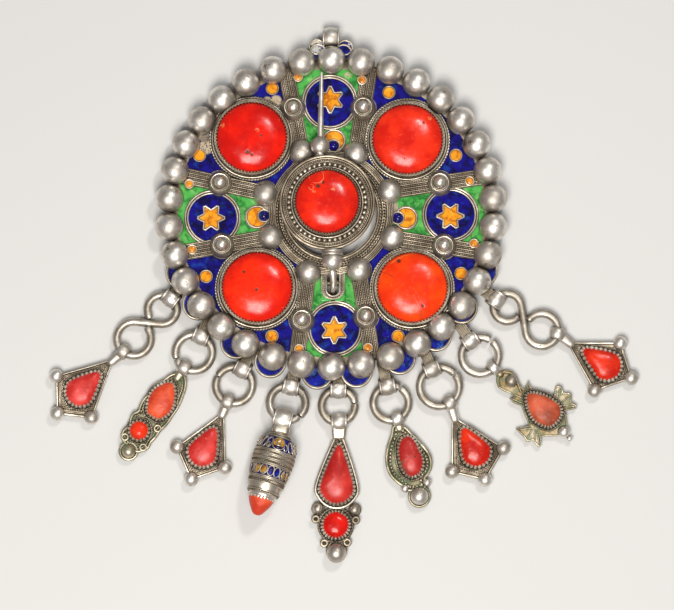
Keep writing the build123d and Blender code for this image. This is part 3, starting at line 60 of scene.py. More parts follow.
bpy.ops.object.select_all(action="DESELECT")
back = Vector((0, -cos(VIEW_TILT), sin(VIEW_TILT)))
bpy.ops.object.camera_add(location=VIEW_CENTER + back * VIEW_DISTANCE)
camera = bpy.context.object
camera.name = "camera"
camera.rotation_mode = "QUATERNION"
camera.rotation_quaternion = (-back).to_track_quat("-Z", "Y")
camera.data.sensor_width = SENSOR_WIDTH
camera.data.lens = SENSOR_WIDTH * VIEW_DISTANCE / VIEW_WIDTH
camera.data.clip_end = 20
scene.camera = camera
print("lens:", round(camera.data.lens), "mm")


# %% Lights
def soft_light(name, spot, size, power, tint):
    """A square lamp that looks at the brooch."""
    bpy.ops.object.light_add(type="AREA", location=spot)
    lamp = bpy.context.object
    lamp.name = name
    lamp.data.size = size
    lamp.data.energy = power
    lamp.data.color = tint
    lamp.rotation_mode = "QUATERNION"
    lamp.rotation_quaternion = (VIEW_CENTER - Vector(spot)).to_track_quat("-Z", "Y")
    return lamp


soft_light("key_light", (-0.05, -0.31, 0.665), 0.30, 5.4, (1.0, 0.97, 0.93))
soft_light("second_light", (0.22, 0.32, 0.62), 0.10, 1.6, (1.0, 0.98, 0.95))
world = bpy.data.worlds.new("soft_room")
world.use_nodes = True
world.node_tree.nodes["Background"].inputs["Color"].default_value = (0.62, 0.62, 0.64, 1)
world.node_tree.nodes["Background"].inputs["Strength"].default_value = 0.40
scene.world = world
scene.view_settings.view_transform = "Standard"

# %% Table
bpy.ops.mesh.primitive_plane_add(size=6)
table = bpy.context.object
table.name = "table"
table_paint = bpy.data.materials.new("table_paint")
table_paint.use_nodes = True
table_shader = table_paint.node_tree.nodes["Principled BSDF"]
table_shader.inputs["Base Color"].default_value = (0.60, 0.595, 0.58, 1)
table_shader.inputs["Roughness"].default_value = 0.8
table.data.materials.append(table_paint)
print("table at z = 0")

# %% [markdown]
# ## Finishes
# Each finish is a small net of nodes on Object coordinates, so that one cloud of stains runs
# across neighbouring pieces as it does on the real brooch. A few helpers keep the nets short.


# %% Colours, noise and sums
def finish_tree(name, **sockets):
    """A new material, its tree and its shader, with the constant sockets set."""
    material = bpy.data.materials.new(name)
    material.use_nodes = True
    tree = material.node_tree
    shader = tree.nodes["Principled BSDF"]
    for key, value in sockets.items():
        shader.inputs[key.replace("_", " ")].default_value = value
    return material, tree, shader


def feed(tree, socket, value):
    """Links a socket to another, or sets it to a value."""
    if isinstance(value, bpy.types.NodeSocket):
        tree.links.new(value, socket)
    else:
        socket.default_value = value


def here(tree, stretch=(1, 1, 1), turn=0):
    """The place on the piece, stretched and turned about the plumb line."""
    place = tree.nodes.new("ShaderNodeTexCoord").outputs["Object"]
    if stretch == (1, 1, 1) and turn == 0:
        return place
    mapping = tree.nodes.new("ShaderNodeMapping")
    tree.links.new(place, mapping.inputs["Vector"])
    mapping.inputs["Scale"].default_value = stretch
    mapping.inputs["Rotation"].default_value = (0, 0, radians(turn))
    return mapping.outputs["Vector"]


def noise(tree, size_mm, detail=3, rough=0.5, place=None):
    """Cloudy noise with blots of a size in millimetres."""
    made = tree.nodes.new("ShaderNodeTexNoise")
    made.inputs["Scale"].default_value = 1 / (size_mm * MM)
    made.inputs["Detail"].default_value = detail
    made.inputs["Roughness"].default_value = rough
    tree.links.new(place or here(tree), made.inputs["Vector"])
    return made.outputs["Fac"]


def cells(tree, size_mm, feature="F1", place=None):
    """The distance to the nearest of many scattered points."""
    made = tree.nodes.new("ShaderNodeTexVoronoi")
    made.feature = feature
    made.inputs["Scale"].default_value = 1 / (size_mm * MM)
    tree.links.new(place or here(tree), made.inputs["Vector"])
    return made.outputs["Distance"]


def spread(tree, value, low, high, start=0.0, end=1.0):
    """Stretches the part of a value from low to high over start to end, and clips the rest."""
    made = tree.nodes.new("ShaderNodeMapRange")
    made.interpolation_type = "SMOOTHSTEP"
    feed(tree, made.inputs["Value"], value)
    for key, number in (("From Min", low), ("From Max", high), ("To Min", start), ("To Max", end)):
        made.inputs[key].default_value = number
    return made.outputs["Result"]


def sums(tree, operation, first, second):
    """One sum of two values."""
    made = tree.nodes.new("ShaderNodeMath")
    made.operation = operation
    feed(tree, made.inputs[0], first)
    feed(tree, made.inputs[1], second)
    return made.outputs["Value"]


def blend(tree, share, first, second, way="MIX"):
    """Two colours mixed by a share."""
    made = tree.nodes.new("ShaderNodeMix")
    made.data_type = "RGBA"
    made.blend_type = way
    feed(tree, made.inputs["Factor"], share)
    for socket, colour in ((made.inputs[6], first), (made.inputs[7], second)):
        feed(tree, socket, colour if isinstance(colour, bpy.types.NodeSocket) else (*colour, 1))
    return made.outputs[2]


print("colours, noise and sums ready")


# %% Marks, hollows and relief
def vector_step(tree, operation, first, second):
    """One step of reckoning with two places."""
    made = tree.nodes.new("ShaderNodeVectorMath")
    made.operation = operation
    feed(tree, made.inputs[0], first)
    feed(tree, made.inputs[1], second)
    return made.outputs["Vector"]


def distance_to(tree, place, centre):
    """The distance on the plan from a point in millimetres."""
    flat = vector_step(tree, "MULTIPLY", place, (1, 1, 0))
    gap = tree.nodes.new("ShaderNodeVectorMath")
    gap.operation = "DISTANCE"
    tree.links.new(flat, gap.inputs[0])
    gap.inputs[1].default_value = (centre[0] * MM, centre[1] * MM, 0)
    return gap.outputs["Value"]


def spot(tree, place, centre, radius, soft):
    """One near a point, and nought away from it."""
    return spread(tree, distance_to(tree, place, centre), radius * MM, (radius + soft) * MM, 1, 0)


def ring_line(tree, place, centre, radius, width):
    """One on a circle, and nought away from it."""
    gap = sums(tree, "SUBTRACT", distance_to(tree, place, centre), radius * MM)
    return spread(tree, sums(tree, "ABSOLUTE", gap, 0.0), 0.3 * width * MM, width * MM, 1, 0)


def shaken(tree, place, size_mm, amount_mm):
    """A place shifted a little by noise, which makes the rims of marks ragged."""
    wobble = tree.nodes.new("ShaderNodeTexNoise")
    wobble.inputs["Scale"].default_value = 1 / (size_mm * MM)
    tree.links.new(place, wobble.inputs["Vector"])
    shift = vector_step(tree, "SUBTRACT", wobble.outputs["Color"], (0.5, 0.5, 0.5))
    amount = amount_mm * MM
    shift = vector_step(tree, "MULTIPLY", shift, (amount, amount, amount))
    return vector_step(tree, "ADD", place, shift)


def hollows(tree, reach_mm, low, high):
    """How deep a point sits between its neighbours."""
    made = tree.nodes.new("ShaderNodeAmbientOcclusion")
    made.samples = 6
    made.inputs["Distance"].default_value = reach_mm * MM
    return spread(tree, made.outputs["AO"], low, high, 1, 0)


def relief(tree, shader, layers):
    """Bumps laid over each other: a height, its depth in millimetres and its strength."""
    normal = None
    for height, depth, strength in layers:
        made = tree.nodes.new("ShaderNodeBump")
        made.inputs["Strength"].default_value = strength
        made.inputs["Distance"].default_value = depth * MM
        tree.links.new(height, made.inputs["Height"])
        if normal:
            tree.links.new(normal, made.inputs["Normal"])
        normal = made.outputs["Normal"]
    tree.links.new(normal, shader.inputs["Normal"])


print("marks, hollows and relief ready")

# %% [markdown]
# ### Old silver
# Old silver is bright only where hands and cloth rub it. Grime stays between the wires, so the
# colour goes brown where the surface sits deep. Pits and fine scratches break up the highlights.


# %% Silver finishes
def old_silver(name, bright, dull, grime, reach, gloss, green=0.0):
    """Worn silver with clouded stains, scratches, pits and grime in its hollows."""
    material, tree, shader = finish_tree(name)
    cloud = noise(tree, 4.5, 5, 0.6)
    grain = noise(tree, 0.7, 4, 0.65)
    colour = blend(tree, spread(tree, cloud, 0.36, 0.66), dull, bright)
    colour = blend(tree, spread(tree, grain, 0.52, 0.74, 0, 0.45), colour, dull)
    deep = hollows(tree, reach, 0.30, 0.86)
    deep = sums(tree, "MULTIPLY", deep, spread(tree, grain, 0.2, 0.55, 0.72, 1.0))
    specks = spread(tree, cells(tree, 1.5), 0.05, 0.16, 0.75, 0)
    stain = sums(tree, "MAXIMUM", deep, specks)
    colour = blend(tree, stain, colour, grime)
    metal = spread(tree, stain, 0.3, 1.0, 1.0, 0.55)
    if green:
        mould = spread(tree, noise(tree, 2.1, 4, 0.6), 0.56 - green, 0.66 - green)
        mould = sums(tree, "MULTIPLY", mould, spread(tree, deep, 0.0, 0.5, 0.55, 1.0))
        colour = blend(tree, mould, colour, (0.085, 0.125, 0.06))
        metal = sums(tree, "MULTIPLY", metal, spread(tree, mould, 0.1, 0.8, 1.0, 0.25))
    tree.links.new(colour, shader.inputs["Base Color"])
    tree.links.new(metal, shader.inputs["Metallic"])
    rough = spread(tree, cloud, 0.3, 0.7, gloss + 0.14, gloss)
    rough = sums(tree, "ADD", rough, spread(tree, stain, 0.1, 0.9, 0, 0.3))
    tree.links.new(rough, shader.inputs["Roughness"])
    scratch = noise(tree, 0.9, 3, 0.7, here(tree, (1, 14, 5), 25))
    relief(tree, shader, [
        (noise(tree, 2.6, 2), 0.10, 0.5),
        (scratch, 0.02, 0.35),
        (grain, 0.05, 0.45),
        (spread(tree, cells(tree, 1.5), 0.04, 0.14), 0.05, 0.6),
    ])
    return material


silver_bead = old_silver(
    "silver_bead", (0.86, 0.82, 0.755), (0.50, 0.45, 0.39), (0.070, 0.046, 0.029), 1.7, 0.40
)
silver_wire = old_silver(
    "silver_wire", (0.70, 0.63, 0.52), (0.38, 0.325, 0.25), (0.05, 0.033, 0.02), 0.8, 0.36
)
silver_plait = old_silver(
    "silver_plait", (0.50, 0.425, 0.32), (0.24, 0.195, 0.14), (0.025, 0.016, 0.009), 0.8, 0.40
)
silver_tooth = old_silver(
    "silver_tooth", (0.90, 0.86, 0.77), (0.66, 0.60, 0.50), (0.06, 0.04, 0.024), 0.35, 0.34
)
silver_dome = old_silver(
    "silver_dome", (0.60, 0.54, 0.47), (0.36, 0.31, 0.25), (0.06, 0.04, 0.025), 1.5, 0.38
)
silver_ring = old_silver(
    "silver_ring", (0.62, 0.57, 0.49), (0.34, 0.295, 0.235), (0.06, 0.042, 0.028), 1.5, 0.38
)
silver_sheet = old_silver(
    "silver_sheet", (0.40, 0.34, 0.26), (0.20, 0.165, 0.12), (0.045, 0.03, 0.018), 1.2, 0.42
)
silver_dark = old_silver(
    "silver_dark", (0.30, 0.26, 0.19), (0.12, 0.10, 0.07), (0.03, 0.022, 0.013), 1.6, 0.42
)
silver_pendant = old_silver(
    "silver_pendant", (0.70, 0.64, 0.53), (0.40, 0.35, 0.27), (0.05, 0.036, 0.022), 0.9, 0.36
)
silver_green = old_silver(
    "silver_green", (0.62, 0.55, 0.41), (0.32, 0.28, 0.18), (0.045, 0.036, 0.018), 0.9, 0.38, 0.05
)
silver_mould = old_silver(
    "silver_mould", (0.30, 0.26, 0.17), (0.14, 0.13, 0.07), (0.03, 0.028, 0.013), 1.4, 0.45, 0.12
)
silver_fish = old_silver(
    "silver_fish", (0.56, 0.49, 0.34), (0.29, 0.195, 0.09), (0.03, 0.05, 0.024), 1.4, 0.42, 0.09
)
print("silver finishes: 12")

# %% [markdown]
# ### Coral
# Red coral is polished, but it keeps the holes and cracks that it grew with. The colour drifts
# from deep red to orange.


# %% Red coral
RAGGED_MM = 1 / 0.9


def red_coral(name, deep, light, pale, gloss=0.17, marks=(), wear=0.0, wrinkles=0.0, cracks=()):
    """Polished coral with fine pits, marks at (x, y, radius, soft, colour) and round cracks."""
    material, tree, shader = finish_tree(name, Specular_IOR_Level=0.38, IOR=1.46)
    cloud = noise(tree, 7.0, 4, 0.55)
    fine = noise(tree, 1.1, 4, 0.6)
    colour = blend(tree, spread(tree, cloud, 0.38, 0.66), deep, light)
    colour = blend(tree, spread(tree, fine, 0.60, 0.8, 0, 0.5), colour, pale)
    pits = spread(tree, cells(tree, 2.6), 0.03, 0.085, 1, 0)
    gate = spread(tree, noise(tree, 5.0, 1), 0.50, 0.58)
    pits = sums(tree, "MULTIPLY", pits, gate)
    place = shaken(tree, here(tree), RAGGED_MM, 0.7)
    hole = pits
    for x, y, radius, soft, shade in marks:
        mark = spot(tree, place, (x, y), radius, soft)
        if shade != DARK_PIT:
            mark = sums(tree, "MULTIPLY", mark, spread(tree, fine, 0.44, 0.58))
        colour = blend(tree, mark, colour, shade)
        hole = sums(tree, "MAXIMUM", hole, sums(tree, "MULTIPLY", mark, 0.6))
    for x, y, radius, width, shade in cracks:
        crack = ring_line(tree, place, (x, y), radius, width)
        crack = sums(tree, "MULTIPLY", crack, spread(tree, cloud, 0.44, 0.54))
        colour = blend(tree, sums(tree, "MULTIPLY", crack, 0.75), colour, shade)
        hole = sums(tree, "MAXIMUM", hole, sums(tree, "MULTIPLY", crack, 0.5))
    if wear:
        worn = spread(tree, noise(tree, 1.6, 5, 0.7), 0.62 - wear, 0.78 - wear)
        colour = blend(tree, sums(tree, "MULTIPLY", worn, 0.7), colour, pale)
        hole = sums(tree, "MAXIMUM", hole, sums(tree, "MULTIPLY", worn, 0.5))
    colour = blend(tree, sums(tree, "MULTIPLY", pits, 0.8), colour, (0.10, 0.012, 0.006))
    # Painted shade: the stone's colour goes dark brown-red where it sits deep, under the teeth of its
    # collar.
    coral_painted_shade = hollows(tree, 1.0, 0.35, 0.8)
    colour = blend(tree, sums(tree, "MULTIPLY", coral_painted_shade, 0.6), colour, (0.10, 0.015, 0.008))
    tree.links.new(colour, shader.inputs["Base Color"])
    rough = spread(tree, fine, 0.3, 0.75, gloss, gloss + 0.12)
    rough = sums(tree, "ADD", rough, sums(tree, "MULTIPLY", hole, 0.35))
    tree.links.new(rough, shader.inputs["Roughness"])
    relief(tree, shader, [
        (noise(tree, 4.0, 2), 0.18, 0.45),
        (noise(tree, 1.3, 3, 0.6, here(tree, (1, 2.2, 1), 30)), 0.30, wrinkles),
        (fine, 0.03, 0.3),
        (sums(tree, "SUBTRACT", 1.0, hole), 0.12, 0.6),
    ])
    return material


print("red coral ready")

# %% [markdown]
# Each large stone has pits, chips and cracks of its own. A mark has a place on the plan, a radius
# and a soft rim in millimetres, and a colour. A crack has a centre, a radius and a width.

# %% Marks and colours of the large stones
DARK_PIT = (0.10, 0.022, 0.008)
PALE_CHIP = (0.80, 0.24, 0.08)
DARK_CRACK = (0.16, 0.02, 0.004)
PALE_CRACK = (0.86, 0.22, 0.05)
coral_stones = {
    "coral_nw": [
        (-22.7, 15.9, 0.30, 0.5, DARK_PIT), (-21.4, 15.3, 0.15, 0.4, DARK_PIT),
        (-29.5, 23.4, 0.3, 0.6, PALE_CHIP), (-20.0, 21.9, 0.3, 0.5, PALE_CHIP),
        (-18.9, 20.4, 0.15, 0.4, DARK_PIT), (-14.4, 13.3, 0.3, 0.6, PALE_CHIP),
    ],
    "coral_ne": [(26.6, 25.2, 0.2, 0.5, PALE_CHIP), (25.0, 24.0, 0.12, 0.35, DARK_PIT)],
    "coral_sw": [(-20.1, -21.4, 0.25, 0.5, DARK_PIT), (-23.5, -16.5, 0.2, 0.4, DARK_PIT)],
    "coral_se": [(18.2, -13.5, 0.3, 0.5, DARK_PIT), (24.6, -25.8, 0.25, 0.4, DARK_PIT)],
    "coral_center": [
        (-3.6, 6.2, 0.3, 0.5, DARK_PIT), (-2.2, 7.1, 0.25, 0.4, DARK_PIT),
        (-4.6, 4.6, 0.25, 0.4, PALE_CHIP), (0.6, 5.2, 0.25, 0.5, PALE_CHIP),
    ],
}
coral_colours = {
    "coral_nw": ((0.54, 0.004, 0.001), (0.80, 0.010, 0.001), (0.86, 0.050, 0.008)),
    "coral_ne": ((0.58, 0.009, 0.002), (0.86, 0.030, 0.006), (0.90, 0.090, 0.025)),
    "coral_sw": ((0.64, 0.008, 0.001), (0.92, 0.023, 0.001), (0.94, 0.075, 0.012)),
    "coral_se": ((0.72, 0.026, 0.001), (0.95, 0.064, 0.001), (0.96, 0.125, 0.008)),
    "coral_center": ((0.56, 0.006, 0.001), (0.86, 0.023, 0.003), (0.90, 0.090, 0.025)),
}
coral_cracks = {
    "coral_se": [
        (24.0, -23.5, 12.2, 0.22, PALE_CRACK), (23.4, -24.0, 13.3, 0.2, PALE_CRACK),
        (9.0, -31.0, 15.2, 0.16, DARK_CRACK), (8.0, -30.0, 16.6, 0.14, DARK_CRACK),
    ],
    "coral_center": [
        (-4.0, 9.0, 2.0, 0.15, (0.82, 0.22, 0.09)), (-5.4, 5.9, 0.7, 0.16, (0.82, 0.25, 0.11)),
    ],
}
print("marks:", sum(len(marks) for marks in coral_stones.values()))

# %% Corals of the brooch
coral_finish = {
    name: red_coral(
        name + "_stone", *coral_colours[name], marks=marks, cracks=coral_cracks.get(name, ())
    )
    for name, marks in coral_stones.items()
}
coral_bead = red_coral(
    "coral_bead", (0.44, 0.003, 0.001), (0.70, 0.008, 0.002), (0.78, 0.04, 0.01), 0.18
)
coral_worn = red_coral(
    "coral_worn", (0.36, 0.009, 0.007), (0.58, 0.032, 0.022), (0.64, 0.09, 0.055), 0.28, wear=0.03
)
coral_pink = red_coral(
    "coral_pink", (0.46, 0.017, 0.013), (0.72, 0.062, 0.050), (0.78, 0.17, 0.12), 0.30, wear=0.04
)
coral_fire = red_coral(
    "coral_fire", (0.44, 0.008, 0.002), (0.72, 0.028, 0.004), (0.78, 0.12, 0.03), 0.22,
    [(26.6, -63.8, 0.15, 0.4, DARK_PIT), (28.4, -66.0, 0.1, 0.4, DARK_PIT)], 0.01,
)
coral_chipped = red_coral(
    "coral_chipped", (0.36, 0.012, 0.010), (0.62, 0.045, 0.035), (0.70, 0.15, 0.10), 0.32,
    [(18.6, -67.9, 0.8, 0.9, (0.17, 0.085, 0.04)), (19.6, -69.9, 0.5, 0.8, (0.13, 0.055, 0.03)),
     (21.9, -63.0, 0.1, 0.5, (0.10, 0.05, 0.04)), (22.6, -66.0, 0.1, 0.4, DARK_PIT)], 0.05,
)
coral_pale = red_coral(
    "coral_pale", (0.26, 0.040, 0.014), (0.58, 0.095, 0.036), (0.56, 0.23, 0.13), 0.38, wear=0.08,
    wrinkles=0.35,
)
coral_orange = red_coral(
    "coral_orange", (0.50, 0.034, 0.010), (0.74, 0.095, 0.030), (0.80, 0.21, 0.09), 0.36,
    wear=0.02, wrinkles=0.55,
)
print("coral finishes:", len(coral_finish) + 7)

# %% [markdown]
# ### Enamel
# Enamel is coloured glass, melted into cells of silver. It is deep and glossy, a little uneven,
# with painted shade at the walls of its cells, and chipped where long wear has lifted it.


# %% Glass enamel
def glass_enamel(name, deep, light, fleck, chips=(), gloss=0.10, cloudy=2.4):
    """Glossy enamel with clouds, flecks and chips at (x, y, radius, soft, colour)."""
    material, tree, shader = finish_tree(
        name, Coat_Weight=0.25, Coat_Roughness=0.05, Specular_IOR_Level=0.35, IOR=1.42
    )
    cloud = noise(tree, cloudy, 4, 0.6)
    fine = noise(tree, 0.6, 3, 0.6)
    colour = blend(tree, spread(tree, cloud, 0.38, 0.58), deep, light)
    streaks = noise(tree, 2.2, 4, 0.6)
    colour = blend(tree, spread(tree, streaks, 0.52, 0.70, 0, 0.7), colour, fleck)
    bubbles = spread(tree, cells(tree, 1.3), 0.05, 0.11, 1, 0)
    colour = blend(tree, sums(tree, "MULTIPLY", bubbles, 0.35), colour, fleck)
    # Painted shade: near the walls of its cells, where they hide it, the enamel takes its deep colour.
    edge = hollows(tree, 1.0, 0.3, 0.85)
    colour = blend(tree, sums(tree, "MULTIPLY", edge, 0.9), colour, deep)
    rough = spread(tree, fine, 0.3, 0.8, gloss, gloss + 0.16)
    height = noise(tree, 1.9, 2)
    place = here(tree)
    for x, y, radius, soft, shade in chips:
        chip = spot(tree, place, (x, y), radius, soft)
        chip = sums(tree, "MULTIPLY", chip, spread(tree, fine, 0.34, 0.46))
        colour = blend(tree, chip, colour, shade)
        rough = sums(tree, "ADD", rough, sums(tree, "MULTIPLY", chip, 0.5))
    tree.links.new(colour, shader.inputs["Base Color"])
    tree.links.new(rough, shader.inputs["Roughness"])
    relief(tree, shader, [(height, 0.22, 0.5), (fine, 0.03, 0.3), (bubbles, 0.03, 0.4)])
    return material


print("glass enamel ready")

# %% Colours of the enamel
IVORY = (0.46, 0.37, 0.23)
BARE = (0.20, 0.16, 0.11)
enamel_blue = glass_enamel(
    "enamel_blue_glass", (0.003, 0.001, 0.040), (0.006, 0.003, 0.20), (0.006, 0.050, 0.28),
    chips=[
        (-33.9, 18.0, 1.6, 0.7, IVORY), (-34.2, 21.0, 1.5, 0.6, BARE), (14.0, 37.0, 0.5, 0.5, BARE),
        (-15.0, 30.6, 1.2, 0.6, IVORY), (-17.4, 30.4, 1.0, 0.6, IVORY),
        (-27.8, -33.0, 0.5, 0.5, BARE), (39.0, 15.5, 0.5, 0.5, IVORY),
    ],
)
enamel_green = glass_enamel(
    "enamel_green_glass", (0.018, 0.17, 0.026), (0.075, 0.38, 0.070), (0.24, 0.56, 0.16),
    chips=[
        (-37.0, 3.5, 0.6, 0.5, BARE), (4.4, 37.6, 0.5, 0.6, IVORY),
        (27.0, 6.0, 0.5, 0.5, IVORY), (5.5, -36.0, 0.6, 0.5, BARE),
    ],
)
enamel_yellow = glass_enamel(
    "enamel_yellow_glass", (0.46, 0.13, 0.006), (0.84, 0.31, 0.012), (0.88, 0.46, 0.06), (), 0.12, 1.5
)
enamel_orange = glass_enamel(
    "enamel_orange_glass", (0.40, 0.12, 0.008), (0.70, 0.26, 0.018), (0.78, 0.42, 0.08), (), 0.14, 1.2
)
enamel_mustard = glass_enamel(
    "enamel_mustard_glass", (0.16, 0.075, 0.010), (0.42, 0.21, 0.030), (0.50, 0.34, 0.10), (), 0.2, 1.2
)
enamel_top = glass_enamel(
    "enamel_top_glass", (0.010, 0.008, 0.06), (0.035, 0.03, 0.16), (0.12, 0.12, 0.24),
    chips=[(-4.4, 46.6, 1.1, 0.5, (0.60, 0.55, 0.46)), (3.2, 44.4, 0.8, 0.7, (0.30, 0.29, 0.28))],
)
enamel_dark = glass_enamel(
    "enamel_dark_glass", (0.003, 0.002, 0.05), (0.006, 0.012, 0.26), (0.05, 0.16, 0.46),
    chips=[(-4.2, 44.8, 1.1, 0.6, (0.45, 0.45, 0.42))],
)
print("enamel finishes: 7")


# %% The solids that stay get their finishes
def dress(node, material):
    """Puts a finish on a solid of the frame."""
    solid = bpy.data.objects[node]
    solid.data.materials.clear()
    solid.data.materials.append(material)


dress("brooch_plate", silver_sheet)
dress("enamel_green", enamel_green)
dress("enamel_blue", enamel_blue)
dress("enamel_scallops", enamel_dark)
dress("enamel_drops", enamel_blue)
dress("enamel_crescents", enamel_yellow)
dress("enamel_dots_yellow", enamel_yellow)
dress("enamel_dots_orange", enamel_orange)
for side in ("north", "east", "south", "west"):
    dress("enamel_roundel_" + side, enamel_blue)
    dress("enamel_star_" + side, enamel_yellow)
print("solids dressed")

# %% [markdown]
# ## Modelling helpers
# A maker of beads, wires and collars repeats a few moves: turn a profile, draw a wire along a
# line, cut a strip into teeth, and solder copies in a row. Each helper here is one such move.


# %% Selecting, copying and joining
def rest():
    """Deselects everything, so that the next operator acts on one piece alone."""
    bpy.ops.object.select_all(action="DESELECT")


def pick(piece):
    rest()
    piece.select_set(True)
    bpy.context.view_layer.objects.active = piece


def fresh(name):
    """Names the primitive that was just added."""
    piece = bpy.context.object
    piece.name = name
    piece.data.name = name
    return piece


def traced(name, places, fill="NOTHING"):
    """A ring of vertices, each moved to its place in millimetres."""
    rest()
    bpy.ops.mesh.primitive_circle_add(vertices=len(places), radius=MM, fill_type=fill)
    piece = fresh(name)
    for vertex, place in zip(piece.data.vertices, places):
        vertex.co = [value * MM for value in place]
    return piece


def edit_all():
    """Opens the active piece for editing, with all of it selected."""
    bpy.ops.object.mode_set(mode="EDIT")
    bpy.ops.mesh.select_all(action="SELECT")


def turn_outwards():
    """Turns every face of the open piece outwards, and closes it."""
    bpy.ops.mesh.select_all(action="SELECT")
    bpy.ops.mesh.normals_make_consistent(inside=False)
    bpy.ops.object.mode_set(mode="OBJECT")


def applied(piece, kind, **settings):
    """Adds a modifier with its settings and applies it."""
    pick(piece)
    modifier = piece.modifiers.new(kind.title(), kind)
    for key, value in settings.items():
        setattr(modifier, key, value)
    bpy.ops.object.modifier_apply(modifier=modifier.name)
    return piece


def smoothed(piece, angle=38):
    pick(piece)
    bpy.ops.object.shade_smooth_by_angle(angle=radians(angle))
    return piece


def placing(spot, turn=0, size=1, lean=(0, 0)):
    """A place in millimetres, a turn about the plumb line and a lean, as one matrix."""
    angles = Euler((radians(lean[0]), radians(lean[1]), radians(turn)))
    scaled = Matrix.Diagonal((size, size, size, 1))
    return Matrix.Translation(Vector(spot) * MM) @ angles.to_matrix().to_4x4() @ scaled


def joined(name, pieces):
    """Solders pieces into one object."""
    rest()
    for piece in pieces:
        piece.select_set(True)
    bpy.context.view_layer.objects.active = pieces[0]
    if len(pieces) > 1:
        bpy.ops.object.join()
    return fresh(name)


def repeated(name, pattern, placings):
    """Copies a finished shape to each place, each copy with its own mesh, and joins them."""
    twins = []
    for matrix in placings:
        twin = pattern.copy()
        twin.data = pattern.data.copy()
        twin.data.transform(matrix)
        scene.collection.objects.link(twin)
        twins.append(twin)
    bpy.data.objects.remove(pattern)
    return joined(name, twins)


def moved(piece, matrix):
    piece.data.transform(matrix)
    return piece


def coated(piece, material):
    """Gives a piece one finish all over."""
    piece.data.materials.clear()
    piece.data.materials.append(material)
    return piece


def two_toned(piece, low, high, level):
    """One finish below a height in millimetres and another one above it."""
    piece.data.materials.clear()
    piece.data.materials.append(low)
    piece.data.materials.append(high)
    for face in piece.data.polygons:
        face.material_index = 1 if face.center.z > level * MM else 0
    return piece


def finished(piece, material, body="brooch", nodes=()):
    """Gives a piece its body, lets it stand for solids, and coats it if a finish is named."""
    if material:
        coated(piece, material)
    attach(piece, body)
    if nodes:
        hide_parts(*nodes)
    print(piece.name, len(piece.data.polygons), "faces")
    return piece


# %% Turning a profile on the lathe
def turned(name, profile, steps=40, angle=38):
    """Spins a closed profile of (reach, height) about the plumb line."""
    piece = traced(name, [(reach, 0, height) for reach, height in profile])
    edit_all()
    bpy.ops.mesh.spin(steps=steps, angle=tau, center=(0, 0, 0), axis=(0, 0, 1))
    bpy.ops.mesh.select_all(action="SELECT")
    bpy.ops.mesh.remove_doubles(threshold=0.001 * MM)
    turn_outwards()
    return smoothed(piece, angle)


def ball(name, radius, cut=None, segments=32, rings=20):
    """A ball, cut flat below a height where it is soldered down."""
    rest()
    bpy.ops.mesh.primitive_uv_sphere_add(
        segments=segments, ring_count=rings, radius=radius * MM
    )
    piece = fresh(name)
    if cut is not None:
        edit_all()
        bpy.ops.mesh.bisect(
            plane_co=(0, 0, cut * MM), plane_no=(0, 0, 1), use_fill=True, clear_inner=True
        )
        bpy.ops.object.mode_set(mode="OBJECT")
    return smoothed(piece, 60)


print("lathe and balls ready")


# %% Drawing wires
def wire_section(name, radius, strands):
    """The section of a wire: round, or two strands side by side."""
    waist = (1, 0.85, 0.52, 0.85) if strands == 2 else (1, 1, 1, 1)
    section = bpy.data.curves.new(name, "CURVE")
    section.dimensions = "2D"
    line = section.splines.new("POLY")
    line.points.add(7)
    for k, point in enumerate(line.points):
        reach = radius * waist[k % 4] * MM
        point.co = (reach * cos(tau * k / 8), reach * sin(tau * k / 8), 0, 1)
    line.use_cyclic_u = True
    return bpy.data.objects.new(name, section)


def wires(name, lines, radius, strands=1, pitch=1.8, closed=False, ends=False):
    """Wires along lines of points in millimetres. Two strands are twisted once in each pitch."""
    section = wire_section(name + "_section", radius, strands)
    curve = bpy.data.curves.new(name, "CURVE")
    curve.dimensions = "3D"
    curve.twist_mode = "Z_UP"
    curve.bevel_mode = "OBJECT"
    curve.bevel_object = section
    curve.use_fill_caps = not closed
    scene.collection.objects.link(section)
    for number, points in enumerate(lines):
        gaps = [(Vector(b) - Vector(a)).length for a, b in zip(points, points[1:])]
        whole = sum(gaps) + ((Vector(points[0]) - Vector(points[-1])).length if closed else 0)
        turns = round(whole / pitch) if closed else whole / pitch
        way = 1 if number % 2 == 0 else -1
        line = curve.splines.new("POLY")
        line.points.add(len(points) - 1)
        gone = 0
        for k, point in enumerate(points):
            line.points[k].co = (*(Vector(point) * MM), 1)
            if strands == 2:
                line.points[k].tilt = way * tau * turns * gone / whole
            gone += gaps[k] if k < len(gaps) else 0
        if ends:
            line.points[0].radius = 0.86
            line.points[-1].radius = 0.86
        line.use_cyclic_u = closed
        line.use_smooth = True
    drawn = bpy.data.objects.new(name, curve)
    scene.collection.objects.link(drawn)
    pick(drawn)
    bpy.ops.object.convert(target="MESH")
    piece = fresh(name)
    bpy.data.objects.remove(section)
    return smoothed(piece, 70)


def straight(start, end, height, step=0.2):
    """Points on a straight line, close enough for a twist."""
    count = max(1, ceil(hypot(end[0] - start[0], end[1] - start[1]) / step))
    return [
        (start[0] + (end[0] - start[0]) * k / count, start[1] + (end[1] - start[1]) * k / count, height)
        for k in range(count + 1)
    ]


def arc(centre, radius, height, start=0, sweep=360, step=0.2):
    """Points on an arc. A whole circle leaves out its last point."""
    count = max(8, ceil(radians(abs(sweep)) * radius / step))
    last = count if sweep == 360 else count + 1
    return [
        (
            centre[0] + radius * cos(radians(start + sweep * k / count)),
            centre[1] + radius * sin(radians(start + sweep * k / count)),
            height,
        )
        for k in range(last)
    ]


print("wires ready")


# %% Places on the plan
def heading(start, end):
    return degrees(atan2(end[1] - start[1], end[0] - start[0]))


def along(start, turn, distance):
    return (start[0] + distance * cos(radians(turn)), start[1] + distance * sin(radians(turn)))


def towards(start, end, distance):
    return along(start, heading(start, end), distance)


